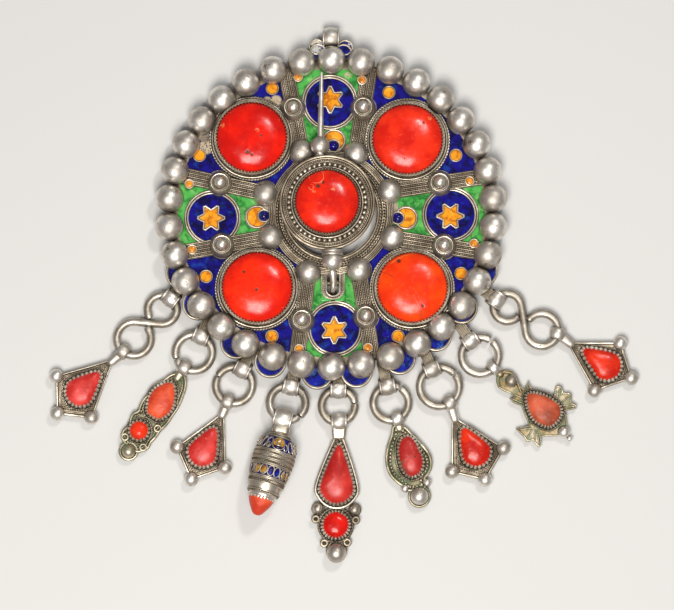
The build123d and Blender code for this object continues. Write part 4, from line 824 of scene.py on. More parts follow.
def even(points, count):
    """A closed line of points, divided into even steps."""
    ring = [Vector(p) for p in points] + [Vector(points[0])]
    gaps = [(b - a).length for a, b in zip(ring, ring[1:])]
    whole = sum(gaps)
    result, place, gone = [], 0, 0
    for k in range(count):
        goal = whole * k / count
        while gone + gaps[place] < goal:
            gone += gaps[place]
            place += 1
        share = (goal - gone) / gaps[place]
        result.append(tuple(ring[place].lerp(ring[place + 1], share)))
    return result


def rounded(points, count):
    """A smooth closed line through points, with even steps, running to the left."""
    total = len(points)
    fine = []
    for k in range(total):
        a, b, c, d = (Vector(points[(k + j) % total]) for j in (-1, 0, 1, 2))
        for step in range(6):
            t = step / 6
            fine.append(0.5 * (
                2 * b + (c - a) * t + (2 * a - 5 * b + 4 * c - d) * t ** 2
                + (3 * b - a - 3 * c + d) * t ** 3
            ))
    turn = sum(p.x * q.y - q.x * p.y for p, q in zip(fine, fine[1:] + fine[:1]))
    if turn < 0:
        fine.reverse()
    return even(fine, count)


def grown(points, amount):
    """A closed line that runs to the left, moved outwards."""
    result = []
    for k, point in enumerate(points):
        way = Vector(points[(k + 1) % len(points)]) - Vector(points[k - 1])
        out = Vector((way.y, -way.x)).normalized()
        result.append((point[0] + amount * out.x, point[1] + amount * out.y))
    return result


def lifted(points, height):
    return [(x, y, height) for x, y in points]


def circle(centre, radius, count):
    return [along(centre, 360 * k / count, radius) for k in range(count)]


print("places and closed lines ready")

# %% [markdown]
# ### Sheet and stone
# A collar starts as a ring of edges, drawn up into a wall whose upper rows are pressed inwards. A
# sheet is one face drawn upwards. A stone is a ring drawn up and narrowed in steps to its crown.


# %% Cutting a collar and a sheet
def collar(name, line, foot, top, tooth, lean, thick=0.35):
    """A strip stood on a closed line of four points to each tooth, its teeth pressed inwards."""
    piece = traced(name, lifted(line, foot))
    edit_all()
    for rise in (top - foot, tooth * 0.5, tooth * 0.5):
        bpy.ops.mesh.extrude_edges_move(
            TRANSFORM_OT_translate={"value": (0, 0, rise * MM)}
        )
    bpy.ops.object.mode_set(mode="OBJECT")
    count = len(line)
    inner = grown(line, -lean * 0.35)
    tips = grown(line, -lean)
    shape = (0.0, 0.62, 1.0, 0.62)
    for vertex in piece.data.vertices:
        place, level = vertex.index % count, vertex.index // count
        share = shape[place % 4]
        if level == 1:
            vertex.co.z -= (0.25 - 0.25 * share) * tooth * MM
        if level == 2:
            middle = (*inner[place], top + tooth * 0.5 * share)
            vertex.co = [value * MM for value in middle]
        if level == 3:
            edge = Vector(inner[place]).lerp(Vector(tips[place]), share)
            vertex.co = (edge.x * MM, edge.y * MM, (top + tooth * share) * MM)
    edit_all()
    turn_outwards()
    applied(piece, "SOLIDIFY", thickness=thick * MM, offset=-1.0)
    return smoothed(piece, 35)


def sheet_cut(name, line, bottom, top, edge=0.18):
    """A flat sheet cut to a closed line, with a softened edge."""
    piece = traced(name, lifted(line, bottom), "NGON")
    edit_all()
    bpy.ops.mesh.extrude_region_move(
        TRANSFORM_OT_translate={"value": (0, 0, (top - bottom) * MM)}
    )
    turn_outwards()
    if edge:
        applied(
            piece, "BEVEL", width=edge * MM, segments=2, limit_method="ANGLE",
            angle_limit=radians(50),
        )
    return smoothed(piece, 40)


print("collars and sheets ready")

# %% Polishing a stone, and dents
STONE_STEPS = [(0.985, 0.12), (0.94, 0.30), (0.86, 0.52), (0.74, 0.72), (0.58, 0.87), (0.38, 0.96)]


def stone(name, line, foot, girdle, top, steps=STONE_STEPS):
    """A polished stone: a wall up to its girdle and a dome above it, closed at the crown."""
    piece = traced(name, lifted(line, foot))
    middle = (sum(p[0] for p in line) / len(line), sum(p[1] for p in line) / len(line))
    edit_all()
    height, width = foot, 1.0
    levels = [(1.0, girdle)] + [(share, girdle + rise * (top - girdle)) for share, rise in steps]
    for share, level in levels + [(0.16, top - 0.004 * (top - girdle))]:
        bpy.ops.mesh.extrude_edges_move(
            TRANSFORM_OT_translate={"value": (0, 0, (level - height) * MM)}
        )
        bpy.ops.transform.resize(
            value=(share / width, share / width, 1),
            center_override=(middle[0] * MM, middle[1] * MM, level * MM),
        )
        height, width = level, share
    bpy.ops.mesh.extrude_edges_move(TRANSFORM_OT_translate={"value": (0, 0, (top - height) * MM)})
    bpy.ops.mesh.merge(type="CENTER")
    turn_outwards()
    if sum(face.normal.z * face.area for face in piece.data.polygons) < 0:
        pick(piece)
        edit_all()
        bpy.ops.mesh.flip_normals()
        bpy.ops.object.mode_set(mode="OBJECT")
    return smoothed(piece, 60)


def uneven(piece, size_mm, depth_mm):
    """Slow dents, as a hammer and long wear leave them."""
    clouds = bpy.data.textures.new(piece.name + "_dents", "CLOUDS")
    clouds.noise_scale = size_mm * MM
    return applied(
        piece, "DISPLACE", texture=clouds, texture_coords="LOCAL", strength=depth_mm * MM,
        mid_level=0.5,
    )


print("stones and dents ready")

# %% [markdown]
# ## The rim of beads
# Thirty-four hollow beads stand shoulder to shoulder. One ball is cut flat where it is soldered,
# copied round the rim, and dented a little, so that no two highlights are alike.

# %% Beads of the rim
BEAD_COUNT = 34
BEAD_R = 3.79
BEAD_RX = 44.0
BEAD_RY = 41.8
BEAD_Z = 4.6
BEAD_CUT = -2.1
bead_turns = [90 + 360 / BEAD_COUNT * k for k in range(BEAD_COUNT)]
bead_places = [
    (BEAD_RX * cos(radians(turn)), BEAD_RY * sin(radians(turn)), BEAD_Z) for turn in bead_turns
]
rim_beads = repeated("rim_beads", ball("bead", BEAD_R, BEAD_CUT), [placing(p) for p in bead_places])
uneven(rim_beads, 3.0, 0.16)
finished(rim_beads, silver_bead)

# %% Balls round the hole
INNER_BALLS = [
    (-8.1, 16.7), (6.6, 16.1), (15.7, 5.9), (16.4, -6.8),
    (7.4, -15.5), (-6.2, -16.1), (-16.4, -6.5), (-17.8, 5.3),
]
INNER_BALL_R, INNER_BALL_CUT, INNER_BALL_Z = 3.44, 0.2, 3.6
inner_balls = repeated(
    "inner_balls", ball("inner_ball", INNER_BALL_R, INNER_BALL_CUT),
    [placing((*p, INNER_BALL_Z)) for p in INNER_BALLS],
)
uneven(inner_balls, 2.6, 0.14)
finished(inner_balls, silver_bead)

# %% [markdown]
# ### Stacked domes
# Each dome beside a roundel carries a flat ring of wire and a small ball, like a button. The
# three are one turned profile here, because they share one axis and are soldered together.

# %% Stacked domes
DOME_R, DOME_Z = 3.54, 3.4
BUTTON_R, BUTTON_Z = 1.66, 7.0
STACKED_DOMES = [
    (-10.3, 28.5), (8.6, 28.6), (29.3, 8.0), (30.4, -9.1),
    (9.3, -28.2), (-7.9, -29.2), (-29.5, -8.9), (-30.1, 8.0),
]
dome_profile = [(0, 3.6), (3.53, 3.6)]
dome_profile += [
    (DOME_R * cos(radians(k)), DOME_Z + DOME_R * sin(radians(k))) for k in (12, 22, 32, 40, 46)
]
dome_profile += [(2.42, 5.96), (2.54, 6.10), (2.54, 6.26), (2.40, 6.40), (2.22, 6.38), (2.08, 6.20)]
dome_profile += [(BUTTON_R, 6.30)]
dome_profile += [
    (BUTTON_R * cos(radians(k)), BUTTON_Z + BUTTON_R * sin(radians(k)))
    for k in (-14, 0, 16, 32, 48, 64, 78)
]
dome_profile += [(0, 8.66)]
stacked_domes = repeated(
    "stacked_domes", turned("dome", dome_profile, 36, 50), [placing((*p, 0)) for p in STACKED_DOMES]
)
uneven(stacked_domes, 2.4, 0.08)
two_toned(stacked_domes, silver_dome, silver_tooth, 5.97)
finished(stacked_domes, None)

# %% [markdown]
# ## Twisted wires
# Filigree wire is two fine wires twisted together. Seen from above it looks like a row of small
# slanted grains. Neighbours are twisted opposite ways, which gives the plaited look of the strips.

# %% Strips from the inner balls to the rim
STRIP_OFFSETS = (-1.86, -1.42, -0.98, -0.5, 0, 0.5, 0.98, 1.42, 1.86)
STRIP_START, STRIP_REACH = 1.5, 23.5
PLAIN_Z, TWISTED_Z = 4.5, 4.4
RIM_GAP = 1.4
TWIST_STEP = 0.14
strip_plain, strip_twisted = [], []
for start, end in zip(INNER_BALLS, STACKED_DOMES):
    turn = heading(start, end)
    for number, offset in enumerate(STRIP_OFFSETS):
        first = along(along(start, turn, STRIP_START), turn + 90, offset)
        reach = STRIP_REACH
        last = along(first, turn, reach)
        while hypot(last[0] / (BEAD_RX - RIM_GAP), last[1] / (BEAD_RY - RIM_GAP)) > 1:
            reach -= 0.5
            last = along(first, turn, reach)
        plain = number % 2 == 0
        line = straight(first, last, PLAIN_Z if plain else TWISTED_Z, TWIST_STEP)
        (strip_plain if plain else strip_twisted).append(line)
edge_wires = coated(wires("strip_edges", strip_plain, 0.18), silver_plait)
plaits = coated(wires("strip_plaits", strip_twisted, 0.27, 2, 1.3), silver_plait)
strips = joined("wire_strips", [plaits, edge_wires])
finished(strips, None)

# %% Wire rings round the hole
hole_plain = wires(
    "hole_plain", [arc((0, 0), 12.7, 4.45, step=0.7), arc((0, 0), 15.25, 4.42, step=0.7)], 0.42,
    closed=True,
)
hole_twisted = wires(
    "hole_twisted", [arc((0, 0), r, 4.52) for r in (13.38, 14.0, 14.62)], 0.36, 2, 1.7, closed=True
)
band_lines = [arc((0, 0), r, 4.44, step=0.5) for r in (15.75, 16.2, 16.65)]
hole_band = coated(wires("hole_band", band_lines, 0.21, closed=True), silver_plait)
coated(hole_twisted, silver_plait)
coated(hole_plain, silver_plait)
hole_wires = joined("hole_wires", [hole_plain, hole_twisted, hole_band])
finished(hole_wires, None)

# %% Wires of the roundels, stars and crescents
ROUNDELS = [(-0.4, 30.2), (32.2, -0.5), (1.0, -31.5), (-32.1, -1.4)]
STARS = [(-0.3, 30.9, 90), (32.2, -0.9, 0), (0.8, -31.9, 90), (-32.5, -1.4, 0)]
CRESCENTS = [(0.7, 19.7), (20.2, -1.4), (-20.1, -1.1)]
DROPS = [(0.6, 18.3), (18.0, -1.4), (-18.2, -0.8)]
ring_lines = [arc(p, 7.35, 4.12, step=0.6) for p in ROUNDELS]
ring_lines += [arc(p, 6.72, 4.06, step=0.6) for p in ROUNDELS]
roundel_wires = wires("roundel_wires", ring_lines, 0.27, closed=True)
star_lines = []
for x, y, turn in STARS:
    corners = []
    for k in range(6):
        corners += [along((x, y), turn + 60 * k + side, 3.62) for side in (-5, 5)]
        corners.append(along((x, y), turn + 60 * k + 30, 2.16))
    star_lines.append(lifted(corners, 4.06))
star_wires = wires("star_wires", star_lines, 0.3, closed=True)
moon_lines = [arc(p, 2.9, 4.08, step=0.4) for p in CRESCENTS]
moon_lines += [arc(p, 1.62, 4.12, step=0.3) for p in DROPS]
moon_wires = wires("moon_wires", moon_lines, 0.25, closed=True)
cell_wires = joined("cell_wires", [roundel_wires, star_wires, moon_wires])
finished(cell_wires, silver_wire)

# %% Wires round the slot
SLOT_X, SLOT_TOP, SLOT_BEND = 0.45, -15.6, -21.0
SLOT_FOOT = -24.05
slot_lines = []
for side, deep in ((1.85, 1.72), (2.22, 1.98), (2.6, 2.22), (2.98, 2.46)):
    left, right = SLOT_X - side, SLOT_X + side
    line = straight((left, SLOT_TOP), (left, SLOT_BEND), TWISTED_Z, TWIST_STEP)
    line += [
        (SLOT_X + side * cos(pi + pi * k / 40), SLOT_BEND + deep * sin(pi + pi * k / 40), TWISTED_Z)
        for k in range(1, 40)
    ]
    line += straight((right, SLOT_BEND), (right, SLOT_TOP), TWISTED_Z, TWIST_STEP)
    slot_lines.append(line)
slot_edges = coated(wires("slot_edges", [slot_lines[0], slot_lines[3]], 0.23), silver_wire)
slot_plaits = coated(wires("slot_plaits", slot_lines[1:3], 0.25, 2, 1.2), silver_plait)
slot_wires = joined("slot_wires", [slot_edges, slot_plaits])
finished(slot_wires, None)
slot_corners = []
for side in (-1, 1):
    outline = [
        (SLOT_X + side * 3.15 * sin(radians(k)), SLOT_BEND - 2.6 * cos(radians(k)))
        for k in range(8, 90, 9)
    ]
    far = SLOT_X + side * 3.42
    outline += [(far, SLOT_BEND), (far, SLOT_FOOT), (SLOT_X + side * 0.5, SLOT_FOOT)]
    if side > 0:
        outline.reverse()
    slot_corners.append(sheet_cut("slot_corner", outline, 3.9, 4.42, 0.1))
slot_enamel = joined("slot_enamel", slot_corners)
finished(slot_enamel, enamel_green)

# %% Wires on the scallops, and round the enamelled dots
SCALLOP_TURNS = [202.1, 214.6, 234.0, 247.9, 265.1, 278.9, 295.0, 310.3, 323.7, 338.8]
TOP_SCALLOPS = [(-3.7, 44.0), (3.3, 43.9)]
ORANGE_DOTS = [
    (-9.0, 37.0), (8.3, 36.2), (37.4, 8.6), (38.5, -8.4),
    (9.9, -36.7), (-8.7, -37.0), (-37.6, -10.0), (-38.4, 7.8),
]
YELLOW_DOTS = [
    (-16.0, 34.0), (15.6, 32.9), (33.7, 15.7), (35.0, -16.5),
    (18.0, -33.5), (-16.0, -33.5), (-33.8, -17.3), (-35.7, 15.7),
]
scallop_lines = [arc(along((0, 0), t, 43.7), 4.0, 4.02, t - 95, 190, 0.5) for t in SCALLOP_TURNS]
scallop_lines += [arc(p, 2.05, 4.02, 5, 170, 0.4) for p in TOP_SCALLOPS]
scallop_wires = wires("scallop_wires", scallop_lines, 0.3)
dot_lines = [arc(p, 1.15, 4.05, step=0.3) for p in ORANGE_DOTS]
dot_lines += [arc(p, 1.65, 4.05, step=0.3) for p in YELLOW_DOTS]
dot_wires = coated(wires("dot_wires", dot_lines, 0.2, closed=True), silver_plait)
cap_wires = wires(
    "cap_wires", [arc(p, 1.16, 4.62, step=0.3) for p in ORANGE_DOTS], 0.22, closed=True
)
rim_wires = joined(
    "rim_wires", [coated(scallop_wires, silver_wire), dot_wires, coated(cap_wires, silver_wire)]
)
finished(rim_wires, None)
cap_profile = [(0, 4.05), (1.12, 4.05), (1.12, 4.6), (0.98, 4.8), (0.7, 4.96), (0.36, 5.04), (0, 5.06)]
dot_caps = repeated(
    "dot_caps", turned("dot_cap", cap_profile, 24, 50), [placing((*p, 0)) for p in ORANGE_DOTS]
)
uneven(dot_caps, 1.5, 0.08)
finished(dot_caps, enamel_orange)

# %% Small scallops beside the top loop
top_spots = [(-4.0, 45.4), (3.7, 45.2)]
top_rings = wires("top_rings", [arc(p, 1.95, 3.9, step=0.3) for p in top_spots], 0.3, closed=True)
top_cups = [sheet_cut("top_cup", circle(p, 2.1, 36), 3.1, 3.75, 0.12) for p in top_spots]
top_scallops = joined("top_scallops", [top_rings, *top_cups])
finished(top_scallops, silver_wire)
top_lakes = joined(
    "top_lakes", [sheet_cut("top_lake", circle(p, 1.8, 32), 3.6, 3.92, 0.1) for p in top_spots]
)
finished(top_lakes, enamel_top)

# %% [markdown]
# ## The four large corals
# Each stone sits in a collar whose upper edge is cut into small teeth and pressed over the
# stone. Two thin wires lie round the collar's foot. The stone is a low dome, as polished coral is.

# %% Stones and collars on the plate
CORALS = {
    "coral_nw": (-21.5, 20.2), "coral_ne": (20.6, 19.7),
    "coral_sw": (-19.9, -20.5), "coral_se": (21.8, -20.6),
}
COLLAR_TEETH = 66
STONE_R, COLLAR_R = 9.78, 10.34
STONE_FOOT, GIRDLE, CROWN = 4.06, 6.2, 9.2
collars = []
for name, centre in CORALS.items():
    stone_piece = stone(name + "_dome", circle(centre, STONE_R, 72), STONE_FOOT, GIRDLE, CROWN)
    uneven(stone_piece, 6.0, 0.25)
    finished(stone_piece, coral_finish[name], "brooch", [name])
    line = circle(centre, COLLAR_R, COLLAR_TEETH * 4)
    tooth_ring = collar(name + "_collar", line, 3.9, 6.5, 1.3, 1.0)
    # Painted shade: below 6.75 mm the collar's wall takes the dark silver, and its lit teeth take the bright
    # one.
    collars.append(two_toned(tooth_ring, silver_dark, silver_tooth, 6.75))
foot_twists = wires(
    "foot_twists", [arc(p, 11.25, 4.32) for p in CORALS.values()], 0.33, 2, 1.6, closed=True
)
foot_plain = wires(
    "foot_plain", [arc(p, 10.62, 4.5, step=0.6) for p in CORALS.values()], 0.36, closed=True
)
foot_wires = coated(joined("foot_wires", [foot_twists, foot_plain]), silver_wire)
coral_collars = joined("coral_collars", [*collars, foot_wires])
finished(coral_collars, None)

# %% [markdown]
# ## The needle and its boss
# The boss is a turned disc with a thick outer wire, a twisted wire between two thin ones, a
# circle of granules, and a toothed collar round the middle stone. A tapered rod leaves it
# towards the rim. At its other end a cup, a ball and a strand with a wire eye lead to the slot.

# %% Boss of the needle
BOSS = (-1.1, 2.3)
BOSS_STONE_R, BOSS_COLLAR_R, BOSS_TEETH = 8.6, 9.12, 68
BOSS_WIRE_Z = 8.5
GRANULE_COUNT, GRANULE_R, GRANULE_RING_R, GRANULE_Z = 46, 0.64, 10.35, 8.66
disc = turned("boss_disc", [
    (0, 7.1), (12.6, 7.1), (12.88, 7.35), (12.93, 8.0), (12.7, 8.4), (0, 8.4),
], 64)
boss_edge = wires("boss_edge", [arc((0, 0), 12.55, 8.36, step=0.6)], 0.4, closed=True)
thin_rings = wires(
    "thin_rings", [arc((0, 0), r, BOSS_WIRE_Z, step=0.5) for r in (11.08, 11.92)], 0.22,
    closed=True,
)
inner_ring = coated(
    wires("inner_ring", [arc((0, 0), 9.58, GRANULE_Z, step=0.5)], 0.28, closed=True), silver_wire
)
twisted_wires = wires(
    "boss_twisted", [arc((0, 0), 11.46, BOSS_WIRE_Z, step=0.15)], 0.3, 2, 1.3, closed=True
)
granule_places = [
    along((0, 0), 360 / GRANULE_COUNT * k, GRANULE_RING_R) for k in range(GRANULE_COUNT)
]
granules = repeated(
    "granules", ball("granule", GRANULE_R, None, 14, 8),
    [placing((*p, GRANULE_Z)) for p in granule_places],
)
uneven(granules, 1.0, 0.16)
boss_base = joined("boss_base", [coated(disc, silver_sheet), coated(twisted_wires, silver_plait)])
boss_rings = coated(joined("boss_rings", [boss_edge, thin_rings]), silver_plait)
coated(granules, silver_wire)
boss_collar = collar("boss_collar", circle((0, 0), BOSS_COLLAR_R, BOSS_TEETH * 4), 8.3, 10.1, 1.0, 0.62)
# Painted shade: below 9.4 mm the boss collar's wall takes the dark sheet silver, and its lit teeth take the
# bright wire silver.
two_toned(boss_collar, silver_sheet, silver_wire, 9.4)
boss = moved(
    joined("boss", [boss_base, boss_rings, inner_ring, granules, boss_collar]), placing((*BOSS, 0))
)
middle_stone = stone("coral_center_dome", circle(BOSS, BOSS_STONE_R, 72), 8.56, 10.2, 12.9)
uneven(middle_stone, 5.0, 0.22)
finished(middle_stone, coral_finish["coral_center"], "pin", ["coral_center"])

# %% Rod, balls, cup and eye of the needle
NEEDLE_Z = 7.2
NEEDLE_BALL = (-3.0, 17.9)
NEEDLE_TIP = (-2.6, 38.2)
TAIL_BALL = (0.3, -13.4)
TAIL_Z = 7.4
HINGE = (0.6, -19.0, 3.2)
EYE_R, EYE_WIRE_R, EYE_LEAN = 2.4, 0.72, 0.12
STRAND_R, STRAND_X, STRAND_WIDTH = 0.66, 0.5, 1.36
rod_length = NEEDLE_TIP[1] - NEEDLE_BALL[1]
rod_profile = [(0, 0), (0.86, 0), (0.84, 3), (0.74, 9), (0.56, 15), (0.38, rod_length - 1)]
rod_profile += [(0.24, rod_length - 0.2), (0, rod_length)]
rod_turn = degrees(atan2(NEEDLE_BALL[0] - NEEDLE_TIP[0], rod_length))
rod = moved(
    turned("rod", rod_profile, 16), placing((*NEEDLE_BALL, NEEDLE_Z), rod_turn, 1, (-90, 0))
)
needle_ball = moved(ball("needle_ball", 2.57), placing((*NEEDLE_BALL, NEEDLE_Z)))
neck = moved(
    turned("neck", [(0, 0), (1.15, 0), (1.0, 0.5), (1.3, 1.1), (0, 1.1)], 20),
    placing((NEEDLE_BALL[0], NEEDLE_BALL[1] - 1.8, NEEDLE_Z + 0.4), 0, 1, (90, 0)),
)
cup_profile = [
    (0, 0), (2.6, 0), (2.95, 0.2), (3.0, 0.5), (2.7, 0.75), (2.6, 1.0), (2.75, 1.3), (2.6, 1.7),
    (0, 1.7),
]
cup = moved(
    turned("cup", cup_profile, 32),
    placing((TAIL_BALL[0], TAIL_BALL[1] + 1.3, TAIL_Z), 0, 1, (-90, 0)),
)
tail_ball = moved(ball("tail_ball", 2.8), placing((*TAIL_BALL, TAIL_Z)))
eye_turns = [tau * k / 40 for k in range(40)]
eye_line = [
    (HINGE[0] + EYE_LEAN * cos(t), HINGE[1] + EYE_R * cos(t), HINGE[2] + EYE_R * sin(t))
    for t in eye_turns
]
eye = wires("eye", [eye_line], EYE_WIRE_R, closed=True)
strand = wires("strand", [[
    (TAIL_BALL[0], TAIL_BALL[1] - 1.2, 7.0), (0.35, -16.0, 6.75), (0.5, -17.6, 6.2),
    (0.6, -19.0, 5.6), (0.6, -20.2, 4.9), (0.6, -20.8, 4.2),
]], STRAND_R)
strand_middle = Matrix.Translation((STRAND_X * MM, 0, 0))
moved(strand, strand_middle @ Matrix.Diagonal((STRAND_WIDTH, 1, 1, 1)) @ strand_middle.inverted())
needle_parts = [rod, needle_ball, neck, cup, tail_ball, eye, strand]
for part in needle_parts:
    coated(part, silver_bead)
needle = joined("needle_dressed", [boss, *needle_parts])
finished(needle, None, "pin", ["needle"])

# %% [markdown]
# ## Rings and S-links
# The rings are thick drawn wire, bent round and not soldered, so each shows a joint. The two
# outer pendants hang on a wire bent into an S. Each wire is drawn along the same arcs as its solid.

# %% Wire links
RING_WIRE_R = 1.13
RING_Z = 2.1
RINGS = [
    ("ring_2", (-37.1, -37.8), 4.94, (-34.9, -32.9), (-40.3, -42.9), 200, 7),
    ("ring_3", (-26.2, -46.6), 4.94, (-23.7, -41.8), (-27.9, -51.0), 153, 9),
    ("ring_5", (1.9, -52.2), 4.46, (1.9, -48.1), (2.1, -57.0), 8, 5),
    ("ring_6", (16.1, -51.4), 4.73, (15.0, -46.6), (18.0, -56.2), 60, 5),
    ("ring_7", (29.2, -47.0), 5.30, (27.0, -42.0), (32.5, -52.3), 40, 5),
    ("ring_8", (40.2, -38.6), 5.00, (37.4, -34.5), (44.1, -42.3), 54, 10),
]
TILTED_RING = ((-11.8, -51.6), 4.86, (-10.7, -46.4), (-13.3, -57.0), 310, 6)
TILTED_RING_TOP = 4.4
S_LINKS = [
    ("s_link_1", (-45.7, -26.1), 3.95, (-53.3, -34.0), 4.6, (-43.0, -22.7), (-56.8, -38.3), 216, 401),
    ("s_link_9", (47.6, -25.5), 3.80, (56.9, -31.6), 4.45, (44.2, -23.2), (62.0, -32.9), 318, 505),
]
for name, centre, radius, _, _, joint, gap in RINGS:
    line = arc(centre, radius, RING_Z, joint + gap * 0.4, 360 - gap * 0.8, 0.5)
    ring = wires(name + "_wire", [line], RING_WIRE_R, ends=True)
    uneven(ring, 2.0, 0.12)
    finished(ring, silver_ring, "brooch", [name])

centre, radius, _, loop, joint, gap = TILTED_RING
tilted_turn = heading(centre, loop)
tilt = degrees(asin((TILTED_RING_TOP - RING_Z) / (2 * radius)))
line = arc((0, 0), radius, 0, joint + gap / 2 - tilted_turn, 360 - gap, 0.5)
ring_4 = wires("ring_4_wire", [line], RING_WIRE_R, ends=True)
moved(ring_4, placing((*centre, (TILTED_RING_TOP + RING_Z) / 2), tilted_turn, 1, (0, -tilt)))
uneven(ring_4, 2.0, 0.12)
finished(ring_4, silver_ring, "brooch", ["ring_4"])

for name, first, first_r, second, second_r, _, _, first_end, second_end in S_LINKS:
    span = hypot(second[0] - first[0], second[1] - first[1])
    line_turn = heading(first, second) - degrees(asin((first_r + second_r) / span))
    stop, start = line_turn + 90, line_turn - 90
    line = arc(first, first_r, RING_Z, first_end, -((first_end - stop) % 360), 0.5)
    line += straight(along(first, stop, first_r), along(second, start, second_r), RING_Z, 0.5)[1:]
    line += arc(second, second_r, RING_Z, start, (second_end - start) % 360, 0.5)[1:]
    link = wires(name + "_wire", [line], RING_WIRE_R, ends=True)
    uneven(link, 2.0, 0.12)
    finished(link, silver_ring, "brooch", [name])

hangers = {name[-1]: (c, r, loop) for name, c, r, _, loop, _, _ in RINGS}
hangers["4"] = (TILTED_RING[0], TILTED_RING[1], TILTED_RING[3])
hangers.update({name[-1]: (c, r, loop) for name, _, _, c, r, _, loop, _, _ in S_LINKS})
print("pendants hang on", len(hangers), "rings")

# %% [markdown]
# ## Strap loops
# Each ring hangs in a strap of sheet that is bent round and soldered. Its two edges stand up as
# small rims. The profile of the strap is turned once and copied to every loop on the rim.


# %% Straps and bars
def strap_loop(name, radius, bore, length, edged=True):
    """A short tube with a swollen middle and raised edges, lying along the x axis."""
    half = length / 2
    outside = [
        (half, 0.10), (half - 0.12, 0.24), (half - 0.42, 0.24), (half - 0.58, 0.05),
        (half * 0.45, 0.30), (half * 0.15, 0.42),
    ]
    if not edged:
        outside = [
            (half, -0.22), (half - 0.14, -0.04), (half * 0.66, 0.14), (half * 0.4, 0.24),
            (half * 0.15, 0.29),
        ]
    profile = [(bore, -half)] + [(radius + rise, -x) for x, rise in outside]
    profile += [(radius + rise, x) for x, rise in reversed(outside)]
    profile += [(bore, half), (bore - 0.02, 0)]
    return moved(turned(name, profile, 28, 50), placing((0, 0, 0), 0, 1, (0, 90)))


def resting(piece, floor=0.02):
    """Cuts off what would reach below the table."""
    pick(piece)
    edit_all()
    bpy.ops.mesh.bisect(
        plane_co=(0, 0, floor * MM), plane_no=(0, 0, 1), use_fill=True, clear_inner=True
    )
    bpy.ops.object.mode_set(mode="OBJECT")
    return piece


def bar(name, start, end, width, bottom, top, taper=1.0, edge=0.3):
    """A small soldered bar between two points on the plan, narrower or lower at its far end."""
    length = hypot(end[0] - start[0], end[1] - start[1])
    rest()
    bpy.ops.mesh.primitive_cube_add(size=MM)
    piece = fresh(name)
    piece.data.transform(Matrix.Diagonal((length, width, top - bottom, 1)))
    for vertex in piece.data.vertices:
        if vertex.co.x > 0:
            vertex.co.y *= taper
            if vertex.co.z > 0:
                vertex.co.z *= 2 * taper - 1
    applied(piece, "BEVEL", width=edge * MM, segments=5)
    middle = ((start[0] + end[0]) / 2, (start[1] + end[1]) / 2, (bottom + top) / 2)
    return moved(smoothed(piece), placing(middle, heading(start, end)))


print("straps and bars ready")

# %% Loops and necks on the rim
LOOP_INSET = 0.1
NECK_WIRE_SIDES = (-1.3, -0.8, -0.27, 0.27, 0.8, 1.3)
rim_rings = [(c, r, rim) for _, c, r, rim, _, _, _ in RINGS] + [TILTED_RING[:3]]
rim_rings += [(c, r, rim) for _, c, r, _, _, rim, _, _, _ in S_LINKS]
loop_placings, necks, neck_lines = [], [], []
for c, r, rim in rim_rings:
    spot_xy, out = towards(c, rim, r - LOOP_INSET), heading(c, rim)
    loop_placings.append(placing((*spot_xy, RING_Z), out + 90))
    necks.append(bar("neck", along(spot_xy, out, 1.2), along(spot_xy, out, 6.6), 2.9, 2.42, 3.7))
    for side in NECK_WIRE_SIDES:
        first = along(along(spot_xy, out, 1.3), out + 90, side)
        neck_lines.append(straight(first, along(first, out, 5.2), 3.62, 0.8))
rim_loops = repeated("rim_loops", strap_loop("strap", 2.12, 1.48, 4.3), loop_placings)
top_loop = moved(strap_loop("top_strap", 2.5, 1.58, 4.5), placing((-0.1, 48.1, 2.5)))
all_loops = coated(resting(joined("loops", [rim_loops, top_loop])), silver_bead)
neck_wires = coated(wires("neck_wires", neck_lines, 0.19), silver_sheet)
neck_bars = joined("necks", [coated(joined("neck_bars", necks), silver_dark), neck_wires])
strap_loops = joined("strap_loops", [all_loops, neck_bars])
finished(strap_loops, None)

# %% [markdown]
# ## Kite pendants
# A kite is a sheet with raised wires along its edges, a ball on each of three corners, and
# a drop of coral in a toothed collar. The four differ in size and lean, so each is made from its
# own corners.


# %% Pieces shared by the pendants
PENDANT_BACK, PENDANT_FACE, PENDANT_WIRE_Z = 0.6, 1.8, 1.9
SMALL_FACE = 1.7
SETTING_FOOT, SETTING_GIRDLE = 1.86, 3.1


def bail(number, length=3.0):
    """The strap loop of a pendant and its place on the pendant's ring."""
    ring_centre, ring_r, loop = hangers[number]
    spot_xy = towards(ring_centre, loop, ring_r - LOOP_INSET)
    strap = strap_loop("bail", 1.95, 1.43, length, edged=length > 3.5)
    moved(strap, placing((*spot_xy, RING_Z), heading(ring_centre, loop) + 90))
    return coated(resting(strap), silver_bead), spot_xy


def drop_line(tip, centre, radius, count):
    """A smooth closed line round a drop, as its solid has it."""
    turn = heading(centre, tip)
    distance = hypot(tip[0] - centre[0], tip[1] - centre[1])
    belly = [along(centre, turn + k * 30, radius) for k in range(3, 10)]
    left = along(along(centre, turn, distance * 0.55), turn + 90, radius * 0.56)
    right = along(along(centre, turn, distance * 0.55), turn - 90, radius * 0.56)
    return rounded([towards(centre, tip, distance - 0.3), left, *belly, right], count)


def set_stone(name, line, teeth, finish, nodes, top=4.7, swell=0.0):
    """A pendant's stone, and its toothed collar."""
    count = teeth * 4
    piece = stone(name, even(grown(line, swell), 64), SETTING_FOOT, SETTING_GIRDLE, top)
    uneven(piece, 2.2, 0.22)
    finished(piece, finish, "brooch", nodes)
    ring = even(grown(line, swell + 0.55), count)
    tooth_ring = collar(name + "_collar", ring, 0.9, 2.7, 1.15, 0.95, 0.3)
    # Painted shade: below 2.9 mm the collar's wall takes the dark silver, and its lit teeth take the bright
    # one.
    two_toned(tooth_ring, silver_dark, silver_tooth, 2.9)
    foot_line = lifted(even(grown(ring, 0.34), count), 2.0)
    foot = wires(name + "_foot", [foot_line], 0.3, 2, 1.4, closed=True)
    return joined(name + "_setting", [tooth_ring, coated(foot, silver_plait)])


